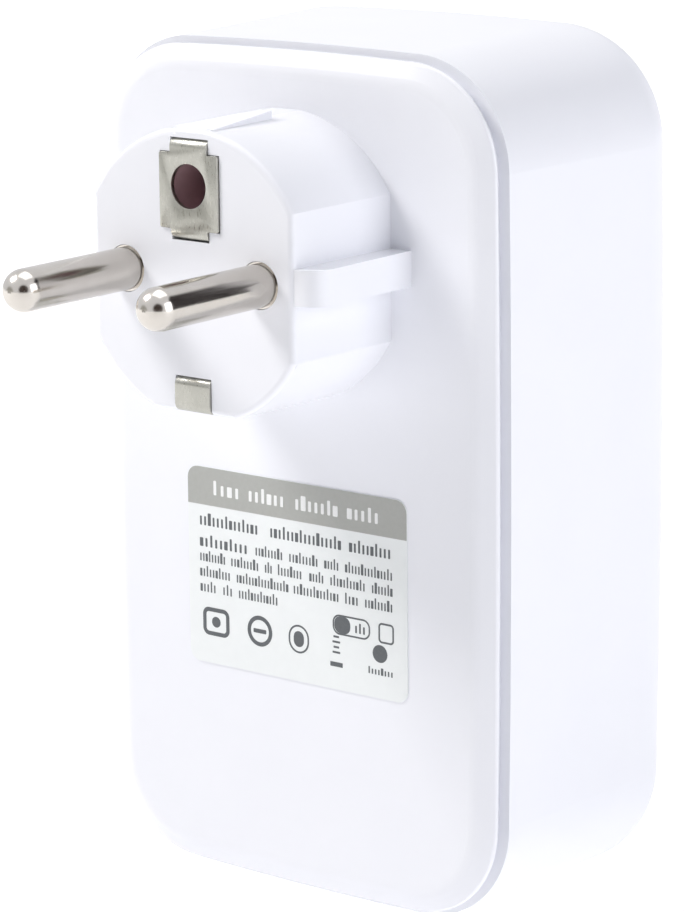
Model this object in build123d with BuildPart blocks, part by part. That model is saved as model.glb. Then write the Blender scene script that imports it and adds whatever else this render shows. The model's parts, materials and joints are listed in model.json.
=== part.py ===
"""A plug-in smart switch: a tall white case with a two-pin plug at the back of its upper half,
a round earthed socket in front, and a power button with its electronics in the lower half.

Frame: the origin is midway between the two pins on the flat face of the plug. +Y points into the
wall, +Z is up, and the room is towards -Y. Every level along Y is given as a depth, which counts
from the plug face towards the room, so the wall side of the case has small depths.
"""
import os

from build123d import *

os.makedirs("parts", exist_ok=True)

# ------------------------------------------------------------------ driving dimensions, in mm
# Case
body_width = 58.0  # across the housing at its rear edge
body_height = 99.8
body_centre_z = -26.1  # the plug sits in the upper half of the case
corner_radius = 12.5
end_crown = 0.7  # how far the top and bottom bulge
side_crown = 0.5  # how far the long sides bulge
housing_depth = 33.45
housing_draft = 2.0  # degrees; the case widens towards the room
housing_wall = 2.0
front_wall = 2.4
front_edge_radius = 6.4
cover_rim = 1.45  # visible edge of the rear cover
cover_edge_width = 2.4  # the rolled edge of the cover, across and deep
cover_edge_depth = 1.1
cover_edge_blend = 3.0
cover_corner_blend = 0.4
cover_inset = 0.7  # the cover stands this far inside the housing's edge
cover_wall = 2.2
seam_gap = 1.2  # open groove round the case between cover and housing
seam_width = 1.4
tongue_height = 2.6
tongue_wall = 1.2
tongue_clearance = 0.12
snap_length = 8.0
snap_proud = 0.5
snap_clearance = 0.15

# Plug
boss_height = 17.0
boss_radius = 16.4
boss_flat = 14.2  # centre to each side flat
boss_top = 16.3
boss_bottom = 15.3
boss_draft = 1.0  # degrees
boss_edge_radius = 0.7
boss_wall = 1.4
boss_chamber_height = 25.2
face_wall = 3.0
rib_width = 4.0
rib_reach = 17.4  # centre to the outside of the side rib
rib_centre_z = 0.2
rib_nose_radius = 2.6
pad_width = 5.6
pad_end_width = 1.6
pad_length = 10.9
pad_rise = 1.0
pin_spacing = 19.0
pin_radius = 2.4
pin_length = 19.0
pin_shoulder_step = 0.2
pin_shoulder_recess = 0.15
pin_collar_step = 0.7
pin_collar_height = 1.5
pin_post_step = 0.8
pin_post_length = 4.5
pin_clearance = 0.06
retainer_wall = 1.7

# Plug earth contact
earth_hole_z = 10.0
earth_hole_radius = 2.45
earth_well_radius = 3.0
earth_well_wall = 0.9
earth_well_end = 15.0
clip_proud = 0.3
clip_thickness = 0.6
clip_clearance = 0.06
clip_plate_width = 8.3
clip_plate_low = 5.2
clip_plate_high = 13.6
clip_tab_width = 5.2
clip_tab_top = 15.2
clip_tab_low = 4.0
clip_bend = 0.65
bottom_clip_width = 5.0
bottom_clip_top = 11.3
bottom_clip_reach = 9.0
bridge_width = 4.2

# Socket
socket_z = -4.5
recess_radius = 19.75
recess_depth = 17.5
cup_wall = 1.6
cup_floor = 2.2
cup_flange = 0.9
cup_flange_thickness = 1.4
cup_clearance = 0.1
socket_hole_clearance = 0.35  # round an inserted pin
guide_rib_width = 4.4
guide_rib_rise = 2.1
strap_width = 6.0
strap_thickness = 0.8
strap_inset = 1.45  # wall of the recess to the middle of each earth arm
strap_bulge = 1.2
shutter_width = 26.0
shutter_lap = 0.55  # beyond the edge of each hole
shutter_thickness = 3.4
shutter_overtravel = 0.35
shutter_gap = 0.1
shutter_clearance = 0.3
spring_coil_radius = 1.1
spring_wire_radius = 0.2
spring_turns = 9
carrier_width = 34.0
carrier_depth = 11.4
contact_length = 7.0
contact_thickness = 0.6
contact_clearance = 0.1
contact_overhang = 1.0

# Controls
button_z = -51.0
button_radius = 6.7
button_proud = 0.4
button_travel = 0.5
button_skirt = 0.9
button_stem_radius = 2.0
button_edge_radius = 0.6
ring_clearance = 0.2
ring_width = 1.5
ring_flange = 1.2
ring_proud = 0.1
status_z = -33.5
status_pipe_radius = 1.5
status_flange = 0.8
plunger_radius = 1.7
plunger_gap = 0.05
switch_size = 6.0
switch_height = 2.5

# Boards
main_board_width = 49.0
main_board_top = -30.5
main_board_height = 40.0
main_board_thickness = 1.6
main_board_gap = 4.2  # cover to board
main_board_corner = 8.0
control_board_width = 34.0
control_board_top = -29.5
control_board_height = 39.5
control_board_thickness = 1.2
control_board_gap = 4.5  # front wall to board
wire_radius = 0.9

# Label
label_width = 32.1
label_height = 23.7
label_top = -26.3
label_offset_x = -0.55
label_corner = 1.5
label_thickness = 0.12

# ------------------------------------------------------------------ levels worked out from them
rim_depth = boss_height + cover_rim
parting_depth = rim_depth + seam_gap
front_depth = parting_depth + housing_depth
front_inside = front_depth - front_wall
cover_inside = boss_height + cover_wall
tongue_inset = housing_wall + tongue_clearance
tongue_end = cover_inside + tongue_height

cup_floor_front = front_depth - recess_depth
cup_floor_back = cup_floor_front - cup_floor
cup_radius = recess_radius + cup_wall
shutter_front = cup_floor_back - shutter_gap
shutter_back = shutter_front - shutter_thickness
carrier_back = cup_floor_back - carrier_depth
carrier_pocket_end = shutter_back - shutter_gap
contact_back = carrier_pocket_end - contact_length - shutter_gap

main_board_back = cover_inside + main_board_gap
main_board_front = main_board_back + main_board_thickness
control_board_front = front_inside - control_board_gap
control_board_back = control_board_front - control_board_thickness
switch_front = control_board_front + switch_height

pin_xs = (-pin_spacing / 2, pin_spacing / 2)
pin_shoulder_radius = pin_radius + pin_shoulder_step
pin_collar_radius = pin_radius + pin_collar_step
pin_post_radius = pin_radius - pin_post_step
socket_hole_radius = pin_radius + socket_hole_clearance
shutter_height = 2 * (socket_hole_radius + shutter_lap)
shutter_travel = shutter_height / 2 + socket_hole_radius + shutter_overtravel
contact_gap = 2 * pin_radius + contact_clearance
contact_reach = pin_radius + contact_overhang
strap_offset = recess_radius - strap_inset
pole_names = ("live", "neutral")
clip_back = clip_thickness - clip_proud
clip_middle = clip_back - clip_thickness / 2
clip_bend_outside = clip_bend + clip_thickness / 2
retainer_back = face_wall + pin_collar_height + pin_clearance
retainer_end = retainer_back + retainer_wall
pin_post_end = face_wall + pin_collar_height + pin_post_length
tail_end = retainer_end + clip_thickness


# ------------------------------------------------------------------ planes and shared shapes
def at_depth(depth):
    """Plane parallel to the wall: sketch x is X, sketch y is Z, and extrusions go to the room."""
    return Plane.XZ.offset(depth)


def side_plane(x):
    """Upright plane across the case: sketch x is depth and sketch y is Z."""
    return Plane(origin=(x, 0, 0), x_dir=(0, -1, 0), z_dir=(-1, 0, 0))


def plan_plane(z):
    """Level plane: sketch x is X and sketch y is depth."""
    return Plane(origin=(0, 0, z), x_dir=(1, 0, 0), z_dir=(0, 0, -1))


def point(x, depth, z):
    return (x, -depth, z)


def depth_axis(x, z):
    """Axis square to the wall through (x, z)."""
    return Axis((x, 0, z), (0, 1, 0))


def case_outline(inset):
    """The case seen from the front: a rounded oblong whose four sides bulge a little."""
    half_width = body_width / 2 - inset
    half_height = body_height / 2 - inset
    corner_x = half_width - side_crown
    corner_z = half_height - end_crown
    with BuildSketch() as outline:
        with BuildLine():
            ThreePointArc((-corner_x, corner_z), (0, half_height), (corner_x, corner_z))
            ThreePointArc((corner_x, corner_z), (half_width, 0), (corner_x, -corner_z))
            ThreePointArc((corner_x, -corner_z), (0, -half_height), (-corner_x, -corner_z))
            ThreePointArc((-corner_x, -corner_z), (-half_width, 0), (-corner_x, corner_z))
        make_face()
        fillet(outline.vertices(), corner_radius - inset)
    return outline.sketch.moved(Location((0, body_centre_z)))


def case_block(start, end, inset, edge_radius):
    """A drafted block of the case's outline with its room-side edge rounded."""
    with BuildPart() as block:
        with BuildSketch(at_depth(start)):
            add(case_outline(inset))
        extrude(amount=end - start, taper=-housing_draft)
        fillet(block.faces().sort_by(Axis.Y)[0].edges(), edge_radius)
    return block.part


def strip(points, bend, thickness, width, x=0.0):
    """Sheet metal bent along (depth, z) points, its width centred on x."""
    with BuildPart() as metal:
        with BuildSketch(side_plane(x)):
            with BuildLine():
                FilletPolyline(*points, radius=bend)
            trace(line_width=thickness)
        extrude(amount=width / 2, both=True)
    return metal.part


def lead(points, bend):
    """A round insulated wire through (x, depth, z) points."""
    with BuildPart() as insulated:
        with BuildLine() as route:
            FilletPolyline(*[point(*p) for p in points], radius=bend)
        with BuildSketch(Plane(origin=route.line @ 0, z_dir=route.line % 0)):
            Circle(wire_radius)
        sweep()
    return insulated.part


def screws(places, head_depth, radius, length, head_radius, head_height, towards_room):
    """Pan-head screws with cross recesses; each head's underside is at head_depth."""
    sign = 1 if towards_room else -1
    recess_width = head_radius * 0.28
    with BuildPart() as group:
        with BuildSketch(at_depth(head_depth)):
            with Locations(*places):
                Circle(radius)
        extrude(amount=-sign * length)
        with BuildSketch(at_depth(head_depth)):
            with Locations(*places):
                Circle(head_radius)
        extrude(amount=sign * head_height)
        with BuildSketch(at_depth(head_depth + sign * head_height * 0.4)):
            with Locations(*places):
                Rectangle(head_radius * 1.2, recess_width)
                Rectangle(recess_width, head_radius * 1.2)
        extrude(amount=sign * head_height, mode=Mode.SUBTRACT)
    return group.part


# ------------------------------------------------------------------ positions shared by pieces
retainer_screw_radius = 0.9
retainer_screw_head = 1.6
retainer_screw_head_height = 1.0
retainer_screw_length = retainer_wall + 2.6
retainer_post_radius = 1.9
retainer_screw_x = pin_spacing / 2 - pin_collar_radius - retainer_post_radius - 0.3
retainer_screw_places = [(-retainer_screw_x, 0), (retainer_screw_x, 0)]

board_screw_radius = 1.0
board_screw_head = 2.0
board_screw_head_height = 1.4
board_screw_length = main_board_thickness + 3.4
board_post_radius = 2.8
main_board_middle = main_board_top - main_board_height / 2
board_screw_places = [(-21.0, main_board_top - 5.8), (20.0, main_board_top - main_board_height + 9.0)]

control_screw_length = control_board_thickness + 3.2
control_post_radius = 2.4
control_screw_places = [(-13.5, button_z - 9.5), (13.5, button_z - 9.5)]
control_board_middle = control_board_top - control_board_height / 2

carrier_ear_orbit = recess_radius - 1.78
carrier_ear_x = carrier_ear_orbit * 0.7346
carrier_ear_z = socket_z + carrier_ear_orbit * 0.679
carrier_ear_radius = 3.0
carrier_ear_thickness = 2.4
carrier_screw_radius = 0.9
carrier_screw_bite = 1.6
carrier_screw_places = [(-carrier_ear_x, carrier_ear_z), (carrier_ear_x, carrier_ear_z)]

top_clip_points = [
    (5.0, clip_tab_top - clip_thickness / 2),
    (clip_middle, clip_tab_top - clip_thickness / 2),
    (clip_middle, clip_tab_low + clip_thickness / 2),
    (tail_end, clip_tab_low + clip_thickness / 2),
]
bottom_run_z = -boss_bottom + clip_thickness / 2 + 0.02
bottom_clip_points = [
    (tail_end, -bottom_clip_top - clip_thickness / 2),
    (clip_middle, -bottom_clip_top - clip_thickness / 2),
    (clip_middle, bottom_run_z),
    (bottom_clip_reach, bottom_run_z - 0.14),
]

snap_side_zs = (body_centre_z - 22.0, body_centre_z + 22.0)

# ------------------------------------------------------------------ rear cover with the plug
# One moulding: the flat back, the hollow plug that stands on it, and a tongue that snaps into
# the housing. The plug carries a rib on its -X side and a narrowing ramp over the upper earth contact.
with BuildPart() as rear_cover:
    with BuildSketch(at_depth(boss_height)):
        add(case_outline(cover_inset))
    extrude(amount=cover_rim)
    flat_back = rear_cover.faces().sort_by(Axis.Y)[-1]
    chamfer(flat_back.edges(), cover_edge_width, cover_edge_depth, reference=flat_back)
    fillet(rear_cover.edges().group_by(Axis.Y)[-1], cover_edge_blend)
    fillet(rear_cover.edges().group_by(Axis.Y)[2], cover_corner_blend)

    with BuildSketch(at_depth(0)):
        Circle(boss_radius)
        with Locations((0, (boss_top - boss_bottom) / 2)):
            Rectangle(2 * boss_flat, boss_top + boss_bottom, mode=Mode.INTERSECT)
    extrude(amount=boss_height + cover_rim / 2, taper=-boss_draft)
    fillet(rear_cover.faces().sort_by(Axis.Y)[-1].edges(), boss_edge_radius)

    with BuildSketch(plan_plane(rib_centre_z)) as rib_plan:
        with Locations((-(rib_reach + boss_flat) / 2 + 0.5, (boss_height + 1.0) / 2)):
            Rectangle(rib_reach - boss_flat + 1.0, boss_height + 0.4)
        fillet(rib_plan.vertices().group_by(Axis.X)[0].sort_by(Axis.Y)[0], rib_nose_radius)
    extrude(amount=rib_width / 2, both=True)

    with BuildPart():
        with BuildSketch(side_plane(0)):
            with BuildLine():
                Polyline(
                    (boss_edge_radius, boss_top - 1.0),
                    (boss_edge_radius, boss_top),
                    (pad_length, boss_top + pad_rise),
                    (pad_length, boss_top - 1.0),
                    close=True,
                )
            make_face()
        extrude(amount=pad_width / 2, both=True)
        with BuildSketch(plan_plane(boss_top)):
            with BuildLine():
                Polyline(
                    (-pad_width / 2, boss_edge_radius),
                    (pad_width / 2, boss_edge_radius),
                    (pad_end_width - pad_width / 2, pad_length),
                    (-pad_width / 2, pad_length),
                    close=True,
                )
            make_face()
        extrude(amount=pad_rise + 1.0, both=True, mode=Mode.INTERSECT)

    with BuildSketch(at_depth(rim_depth)):
        add(case_outline(tongue_inset))
    extrude(amount=cover_inside - rim_depth)
    with BuildSketch(at_depth(cover_inside)):
        add(case_outline(tongue_inset))
        add(case_outline(tongue_inset + tongue_wall), mode=Mode.SUBTRACT)
    extrude(amount=tongue_height)
    with BuildSketch(at_depth(tongue_end - 1.2)):
        for side in (-1, 1):
            for z in snap_side_zs:
                with Locations((side * (body_width / 2 - tongue_inset - 0.3), z)):
                    Rectangle(2 * snap_proud, snap_length)
    extrude(amount=0.9)

    # Chamber inside the plug, open to the case
    with BuildSketch(at_depth(face_wall)):
        Circle(boss_radius - boss_wall)
        Rectangle(2 * (boss_flat - boss_wall), boss_chamber_height, mode=Mode.INTERSECT)
    extrude(amount=cover_inside - face_wall, mode=Mode.SUBTRACT)

    # Blind well behind the hole for a wall socket's earth pin
    with BuildSketch(at_depth(face_wall / 2)):
        with Locations((0, earth_hole_z)):
            Circle(earth_well_radius + earth_well_wall)
    extrude(amount=earth_well_end + earth_well_wall - face_wall / 2)
    with BuildSketch(at_depth(0)):
        with Locations((0, earth_hole_z)):
            Circle(earth_well_radius)
    extrude(amount=earth_well_end, mode=Mode.SUBTRACT)

    # Pockets that the two earth clips lie in, open in front where the metal bends away
    with BuildSketch(at_depth(0)):
        with Locations((0, (clip_plate_low + clip_plate_high) / 2)):
            Rectangle(
                clip_plate_width + 2 * clip_clearance,
                clip_plate_high - clip_plate_low + 2 * clip_clearance,
            )
    extrude(amount=clip_back, mode=Mode.SUBTRACT)
    pocket_thickness = clip_thickness + 2 * clip_clearance
    add(
        strip(top_clip_points, clip_bend, pocket_thickness, clip_tab_width + 2 * clip_clearance),
        mode=Mode.SUBTRACT,
    )
    add(
        strip(bottom_clip_points, clip_bend, pocket_thickness, bottom_clip_width + 2 * clip_clearance),
        mode=Mode.SUBTRACT,
    )
    for low_end, width in (
        (clip_tab_top - clip_bend_outside, clip_tab_width),
        (clip_tab_low, clip_tab_width),
        (-bottom_clip_top - clip_bend_outside, bottom_clip_width),
        (-boss_bottom, bottom_clip_width),
    ):
        with BuildSketch(at_depth(0)):
            with Locations((0, low_end + clip_bend_outside / 2)):
                Rectangle(width + 2 * clip_clearance, clip_bend_outside + 2 * clip_clearance)
        extrude(amount=clip_middle + clip_bend, mode=Mode.SUBTRACT)

    # Seats for the pin collars, pin bores, and two posts for the screws of the pin retainer
    with BuildSketch(at_depth(face_wall)):
        with Locations(*[(x, 0) for x in pin_xs]):
            Circle(pin_collar_radius + pin_clearance)
    extrude(amount=pin_collar_height, mode=Mode.SUBTRACT)
    with BuildSketch(at_depth(0)):
        with Locations(*[(x, 0) for x in pin_xs]):
            Circle(pin_shoulder_radius + pin_clearance)
    extrude(amount=face_wall, mode=Mode.SUBTRACT)
    with BuildSketch(at_depth(face_wall)):
        with Locations(*retainer_screw_places):
            Circle(retainer_post_radius)
    extrude(amount=retainer_back - face_wall)
    with BuildSketch(at_depth(retainer_end - retainer_screw_length)):
        with Locations(*retainer_screw_places):
            Circle(retainer_screw_radius)
    extrude(amount=retainer_screw_length, mode=Mode.SUBTRACT)

    # Posts that carry the main board
    with BuildSketch(at_depth(cover_inside)):
        with Locations(*board_screw_places):
            Circle(board_post_radius)
            Circle(board_screw_radius, mode=Mode.SUBTRACT)
    extrude(amount=main_board_gap)
rear_cover.part.label = "rear_cover"
export_step(rear_cover.part, "parts/rear_cover.step")

# ------------------------------------------------------------------ front housing
# A deep tray that widens towards the room, with openings for the socket, button and light pipe.
light_ring_radius = button_radius + ring_clearance + ring_width
flange_seat_radius = cup_radius + cup_flange + cup_clearance
with BuildPart() as front_housing:
    add(case_block(parting_depth, front_depth, 0, front_edge_radius))
    with BuildSketch(at_depth(rim_depth)):
        add(case_outline(seam_width))
    extrude(amount=seam_gap)
    add(
        case_block(rim_depth, front_inside, housing_wall, front_edge_radius - housing_wall),
        mode=Mode.SUBTRACT,
    )
    with BuildSketch(at_depth(tongue_end - 1.2 - snap_clearance)):
        for side in (-1, 1):
            for z in snap_side_zs:
                with Locations((side * (body_width / 2 - tongue_inset - 0.3), z)):
                    Rectangle(2 * (snap_proud + snap_clearance), snap_length + 2 * snap_clearance)
    extrude(amount=0.9 + 2 * snap_clearance, mode=Mode.SUBTRACT)

    with BuildSketch(at_depth(front_inside - 1.0)):
        with Locations((0, socket_z)):
            Circle(cup_radius + cup_clearance)
        with Locations((0, button_z)):
            Circle(light_ring_radius + cup_clearance)
        with Locations((0, status_z)):
            Circle(status_pipe_radius + cup_clearance)
    extrude(amount=front_wall + 2.0, mode=Mode.SUBTRACT)
    with BuildSketch(at_depth(front_depth - cup_flange_thickness)):
        with Locations((0, socket_z)):
            Circle(flange_seat_radius)
    extrude(amount=cup_flange_thickness, mode=Mode.SUBTRACT)

    with BuildSketch(at_depth(control_board_front)):
        with Locations(*control_screw_places):
            Circle(control_post_radius)
    extrude(amount=control_board_gap + front_wall / 2)
    with BuildSketch(at_depth(control_board_back)):
        with Locations(*control_screw_places):
            Circle(board_screw_radius)
    extrude(amount=control_screw_length, mode=Mode.SUBTRACT)
front_housing.part.label = "front_housing"
export_step(front_housing.part, "parts/front_housing.step")

# ------------------------------------------------------------------ rating label
with BuildPart() as rating_label:
    with BuildSketch(at_depth(boss_height - label_thickness)):
        with Locations((label_offset_x, label_top - label_height / 2)):
            RectangleRounded(label_width, label_height, label_corner)
    extrude(amount=label_thickness)
rating_label.part.label = "rating_label"
export_step(rating_label.part, "parts/rating_label.step")

# ------------------------------------------------------------------ plug pins
# Solid turned pins with domed tips. A shoulder fills the bore in the plug face, a collar bears
# on its inside, and a thin post behind the collar takes the wire.
for pole, x in zip(pole_names, pin_xs):
    with BuildPart() as plug_pin:
        with BuildSketch(plan_plane(0)):
            with BuildLine():
                tip_depth = pin_radius - pin_length
                collar_end = face_wall + pin_collar_height
                ThreePointArc(
                    (x, -pin_length),
                    (x + pin_radius * 0.5**0.5, tip_depth - pin_radius * 0.5**0.5),
                    (x + pin_radius, tip_depth),
                )
                Polyline(
                    (x + pin_radius, tip_depth),
                    (x + pin_radius, pin_shoulder_recess),
                    (x + pin_shoulder_radius, pin_shoulder_recess),
                    (x + pin_shoulder_radius, face_wall),
                    (x + pin_collar_radius, face_wall),
                    (x + pin_collar_radius, collar_end),
                    (x + pin_post_radius, collar_end),
                    (x + pin_post_radius, pin_post_end),
                    (x, pin_post_end),
                    (x, -pin_length),
                )
            make_face()
        revolve(axis=depth_axis(x, 0))
    plug_pin.part.label = f"plug_pin_{pole}"
    export_step(plug_pin.part, f"parts/plug_pin_{pole}.step")

# Insulating plate screwed over the collars, so that the pins can't be pushed in
with BuildPart() as pin_retainer:
    with BuildSketch(at_depth(retainer_back)) as retainer_outline:
        Rectangle(2 * (boss_flat - boss_wall) - 0.6, 7.4)
        fillet(retainer_outline.vertices(), 1.5)
        with Locations(*[(x, 0) for x in pin_xs]):
            Circle(pin_post_radius + pin_clearance, mode=Mode.SUBTRACT)
        with Locations(*retainer_screw_places):
            Circle(retainer_screw_radius + 0.1, mode=Mode.SUBTRACT)
    extrude(amount=retainer_wall)
pin_retainer.part.label = "pin_retainer"
export_step(pin_retainer.part, "parts/pin_retainer.step")

with BuildPart() as retainer_screws:
    add(
        screws(
            retainer_screw_places,
            retainer_end,
            retainer_screw_radius,
            retainer_screw_length,
            retainer_screw_head,
            retainer_screw_head_height,
            True,
        )
    )
retainer_screws.part.label = "retainer_screws"
export_step(retainer_screws.part, "parts/retainer_screws.step")

# ------------------------------------------------------------------ plug earth contact
# The upper clip is a plate with the hole for a wall socket's earth pin and a tab bent in at each
# end. The lower clip wraps round the bottom edge of the plug. A bridge joins their tails.
with BuildPart() as plug_earth_clip_top:
    add(strip(top_clip_points, clip_bend, clip_thickness, clip_tab_width))
    with BuildSketch(at_depth(-clip_proud)):
        with Locations((0, (clip_plate_low + clip_plate_high) / 2)):
            RectangleRounded(clip_plate_width, clip_plate_high - clip_plate_low, 0.3)
    extrude(amount=clip_thickness)
    with BuildSketch(at_depth(-clip_proud)):
        with Locations((0, earth_hole_z)):
            Circle(earth_hole_radius)
    extrude(amount=clip_thickness, mode=Mode.SUBTRACT)
plug_earth_clip_top.part.label = "plug_earth_clip_top"
export_step(plug_earth_clip_top.part, "parts/plug_earth_clip_top.step")

with BuildPart() as plug_earth_clip_bottom:
    add(strip(bottom_clip_points, clip_bend, clip_thickness, bottom_clip_width))
plug_earth_clip_bottom.part.label = "plug_earth_clip_bottom"
export_step(plug_earth_clip_bottom.part, "parts/plug_earth_clip_bottom.step")

with BuildPart() as earth_bridge:
    with BuildSketch(at_depth(tail_end)) as bridge_outline:
        with Locations((0, (clip_tab_low - bottom_clip_top) / 2 - clip_thickness / 4)):
            Rectangle(bridge_width, clip_tab_low + bottom_clip_top + 2.5 * clip_thickness)
        fillet(bridge_outline.vertices(), 0.5)
    extrude(amount=clip_thickness)
earth_bridge.part.label = "earth_bridge"
export_step(earth_bridge.part, "parts/earth_bridge.step")

# ------------------------------------------------------------------ socket cup
# Round recess for a plug, let into the front of the housing: a flange at its mouth, two guide
# ribs at the sides, two pin holes, and slots that the earth arms pass through.
arm_zs = (socket_z + strap_offset, socket_z - strap_offset)
with BuildPart() as socket_cup:
    with BuildSketch(at_depth(cup_floor_back)):
        with Locations((0, socket_z)):
            Circle(cup_radius)
    extrude(amount=front_depth - cup_floor_back)
    with BuildSketch(at_depth(front_depth - cup_flange_thickness)):
        with Locations((0, socket_z)):
            Circle(cup_radius + cup_flange)
    extrude(amount=cup_flange_thickness)
    with BuildSketch(at_depth(cup_floor_front)):
        with Locations((0, socket_z)):
            Circle(recess_radius)
    extrude(amount=recess_depth, mode=Mode.SUBTRACT)
    mouth = socket_cup.faces().sort_by(Axis.Y)[0].edges().sort_by(SortBy.LENGTH)[0]
    fillet(mouth, cup_wall / 2)
    with BuildSketch(at_depth(cup_floor_front)):
        for side in (-1, 1):
            with Locations((side * (recess_radius - guide_rib_rise / 2 + 0.4), socket_z)):
                Rectangle(guide_rib_rise + 0.8, guide_rib_width)
    extrude(amount=recess_depth - 2.5)
    with BuildSketch(at_depth(cup_floor_back)):
        with Locations(*[(x, socket_z) for x in pin_xs]):
            Circle(socket_hole_radius)
        with Locations(*[(0, z) for z in arm_zs]):
            Rectangle(strap_width + 0.6, strap_thickness + 0.5)
    extrude(amount=cup_floor, mode=Mode.SUBTRACT)
    with BuildSketch(at_depth(cup_floor_back)):
        with Locations(*carrier_screw_places):
            Circle(carrier_screw_radius)
    extrude(amount=carrier_screw_bite, mode=Mode.SUBTRACT)
    # Four hooks that catch behind the front wall
    hook_rise = cup_flange - 0.1
    with BuildSketch(plan_plane(socket_z)):
        for side in (-1, 1):
            with BuildLine():
                Polyline(
                    (side * (cup_radius - 0.3), front_inside - 0.08),
                    (side * (cup_radius + hook_rise), front_inside - 0.08),
                    (side * (cup_radius - 0.3), front_inside - 3.0),
                    close=True,
                )
            make_face()
    extrude(amount=3.0, both=True)
socket_cup.part.label = "socket_cup"
export_step(socket_cup.part, "parts/socket_cup.step")

# ------------------------------------------------------------------ shutter and its spring
# A block behind the cup's floor shuts both holes. Two pins pushed in together bear on its sloped
# front and slide it down against a spring, which stands in a slot in the middle.
shutter_top = socket_z + shutter_height / 2
shutter_bottom = socket_z - shutter_height / 2
spring_slot_width = 2 * (spring_coil_radius + spring_wire_radius) + 1.4
spring_top = shutter_top - 1.2
chamber_bottom = shutter_bottom - shutter_travel - shutter_clearance
slope_run = 4.4
slope_drop = 2.4
with BuildPart() as socket_shutter:
    with BuildSketch(at_depth(shutter_back)) as shutter_outline:
        with Locations((0, socket_z)):
            Rectangle(shutter_width, shutter_height)
        fillet(shutter_outline.vertices(), 0.6)
        with Locations((0, (spring_top + shutter_bottom) / 2)):
            Rectangle(spring_slot_width, spring_top - shutter_bottom, mode=Mode.SUBTRACT)
    extrude(amount=shutter_thickness)
    with BuildSketch(side_plane(0)):
        with BuildLine():
            Polyline(
                (shutter_front, shutter_top - slope_run),
                (shutter_front + 1, shutter_top - slope_run),
                (shutter_front + 1, shutter_top + 1),
                (shutter_front - slope_drop, shutter_top + 1),
                (shutter_front - slope_drop, shutter_top),
                close=True,
            )
        make_face()
    extrude(amount=shutter_width, both=True, mode=Mode.SUBTRACT)
socket_shutter.part.label = "socket_shutter"
export_step(socket_shutter.part, "parts/socket_shutter.step")

spring_depth = (shutter_front + shutter_back) / 2
spring_foot = chamber_bottom + spring_wire_radius + 0.02
spring_height = spring_top - spring_wire_radius - 0.02 - spring_foot
with BuildPart() as shutter_spring:
    with BuildLine() as coil:
        Helix(
            pitch=spring_height / spring_turns,
            height=spring_height,
            radius=spring_coil_radius,
            center=point(0, spring_depth, spring_foot),
        )
    with BuildSketch(Plane(origin=coil.line @ 0, z_dir=coil.line % 0)):
        Circle(spring_wire_radius)
    sweep()
shutter_spring.part.label = "shutter_spring"
export_step(shutter_spring.part, "parts/shutter_spring.step")

# ------------------------------------------------------------------ contact carrier
# Insulating block screwed to the back of the cup. It guides the shutter in front and holds the
# two contacts behind it.
carrier_top = shutter_top + shutter_clearance + 2.6
carrier_bottom = chamber_bottom - 2.0
contact_pocket_width = 2 * contact_reach + 2 * contact_thickness + 0.6
contact_pocket_height = contact_gap + 2 * contact_thickness + 0.3
with BuildPart() as contact_carrier:
    with BuildSketch(at_depth(carrier_back)) as carrier_outline:
        with Locations((0, (carrier_top + carrier_bottom) / 2)):
            Rectangle(carrier_width, carrier_top - carrier_bottom)
        fillet(carrier_outline.vertices(), 1.5)
    extrude(amount=carrier_depth)
    with BuildSketch(at_depth(cup_floor_back - carrier_ear_thickness)):
        for side in (-1, 1):
            with Locations((side * carrier_ear_x, carrier_ear_z)):
                Circle(carrier_ear_radius)
            with Locations((side * carrier_ear_x, (carrier_ear_z + carrier_top) / 2 - 0.5)):
                Rectangle(2 * carrier_ear_radius, carrier_ear_z - carrier_top + 1.0)
    extrude(amount=carrier_ear_thickness)
    with BuildSketch(at_depth(cup_floor_back - carrier_ear_thickness)):
        with Locations(*carrier_screw_places):
            Circle(carrier_screw_radius + 0.1)
    extrude(amount=carrier_ear_thickness, mode=Mode.SUBTRACT)
    shutter_room_top = shutter_top + shutter_clearance
    with BuildSketch(at_depth(carrier_pocket_end)):
        with Locations((0, (shutter_room_top + chamber_bottom) / 2)):
            Rectangle(shutter_width + 2 * shutter_clearance, shutter_room_top - chamber_bottom)
    extrude(amount=cup_floor_back - carrier_pocket_end, mode=Mode.SUBTRACT)
    with BuildSketch(at_depth(carrier_back)):
        for side, x in zip((-1, 1), pin_xs):
            with Locations((x + side * (contact_thickness / 2 + 0.15), socket_z)):
                Rectangle(contact_pocket_width, contact_pocket_height)
    extrude(amount=carrier_depth, mode=Mode.SUBTRACT)
contact_carrier.part.label = "contact_carrier"
export_step(contact_carrier.part, "parts/contact_carrier.step")

with BuildPart() as carrier_screws:
    add(
        screws(
            carrier_screw_places,
            cup_floor_back - carrier_ear_thickness,
            carrier_screw_radius,
            carrier_ear_thickness + carrier_screw_bite,
            1.8,
            1.2,
            False,
        )
    )
carrier_screws.part.label = "carrier_screws"
export_step(carrier_screws.part, "parts/carrier_screws.step")

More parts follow.
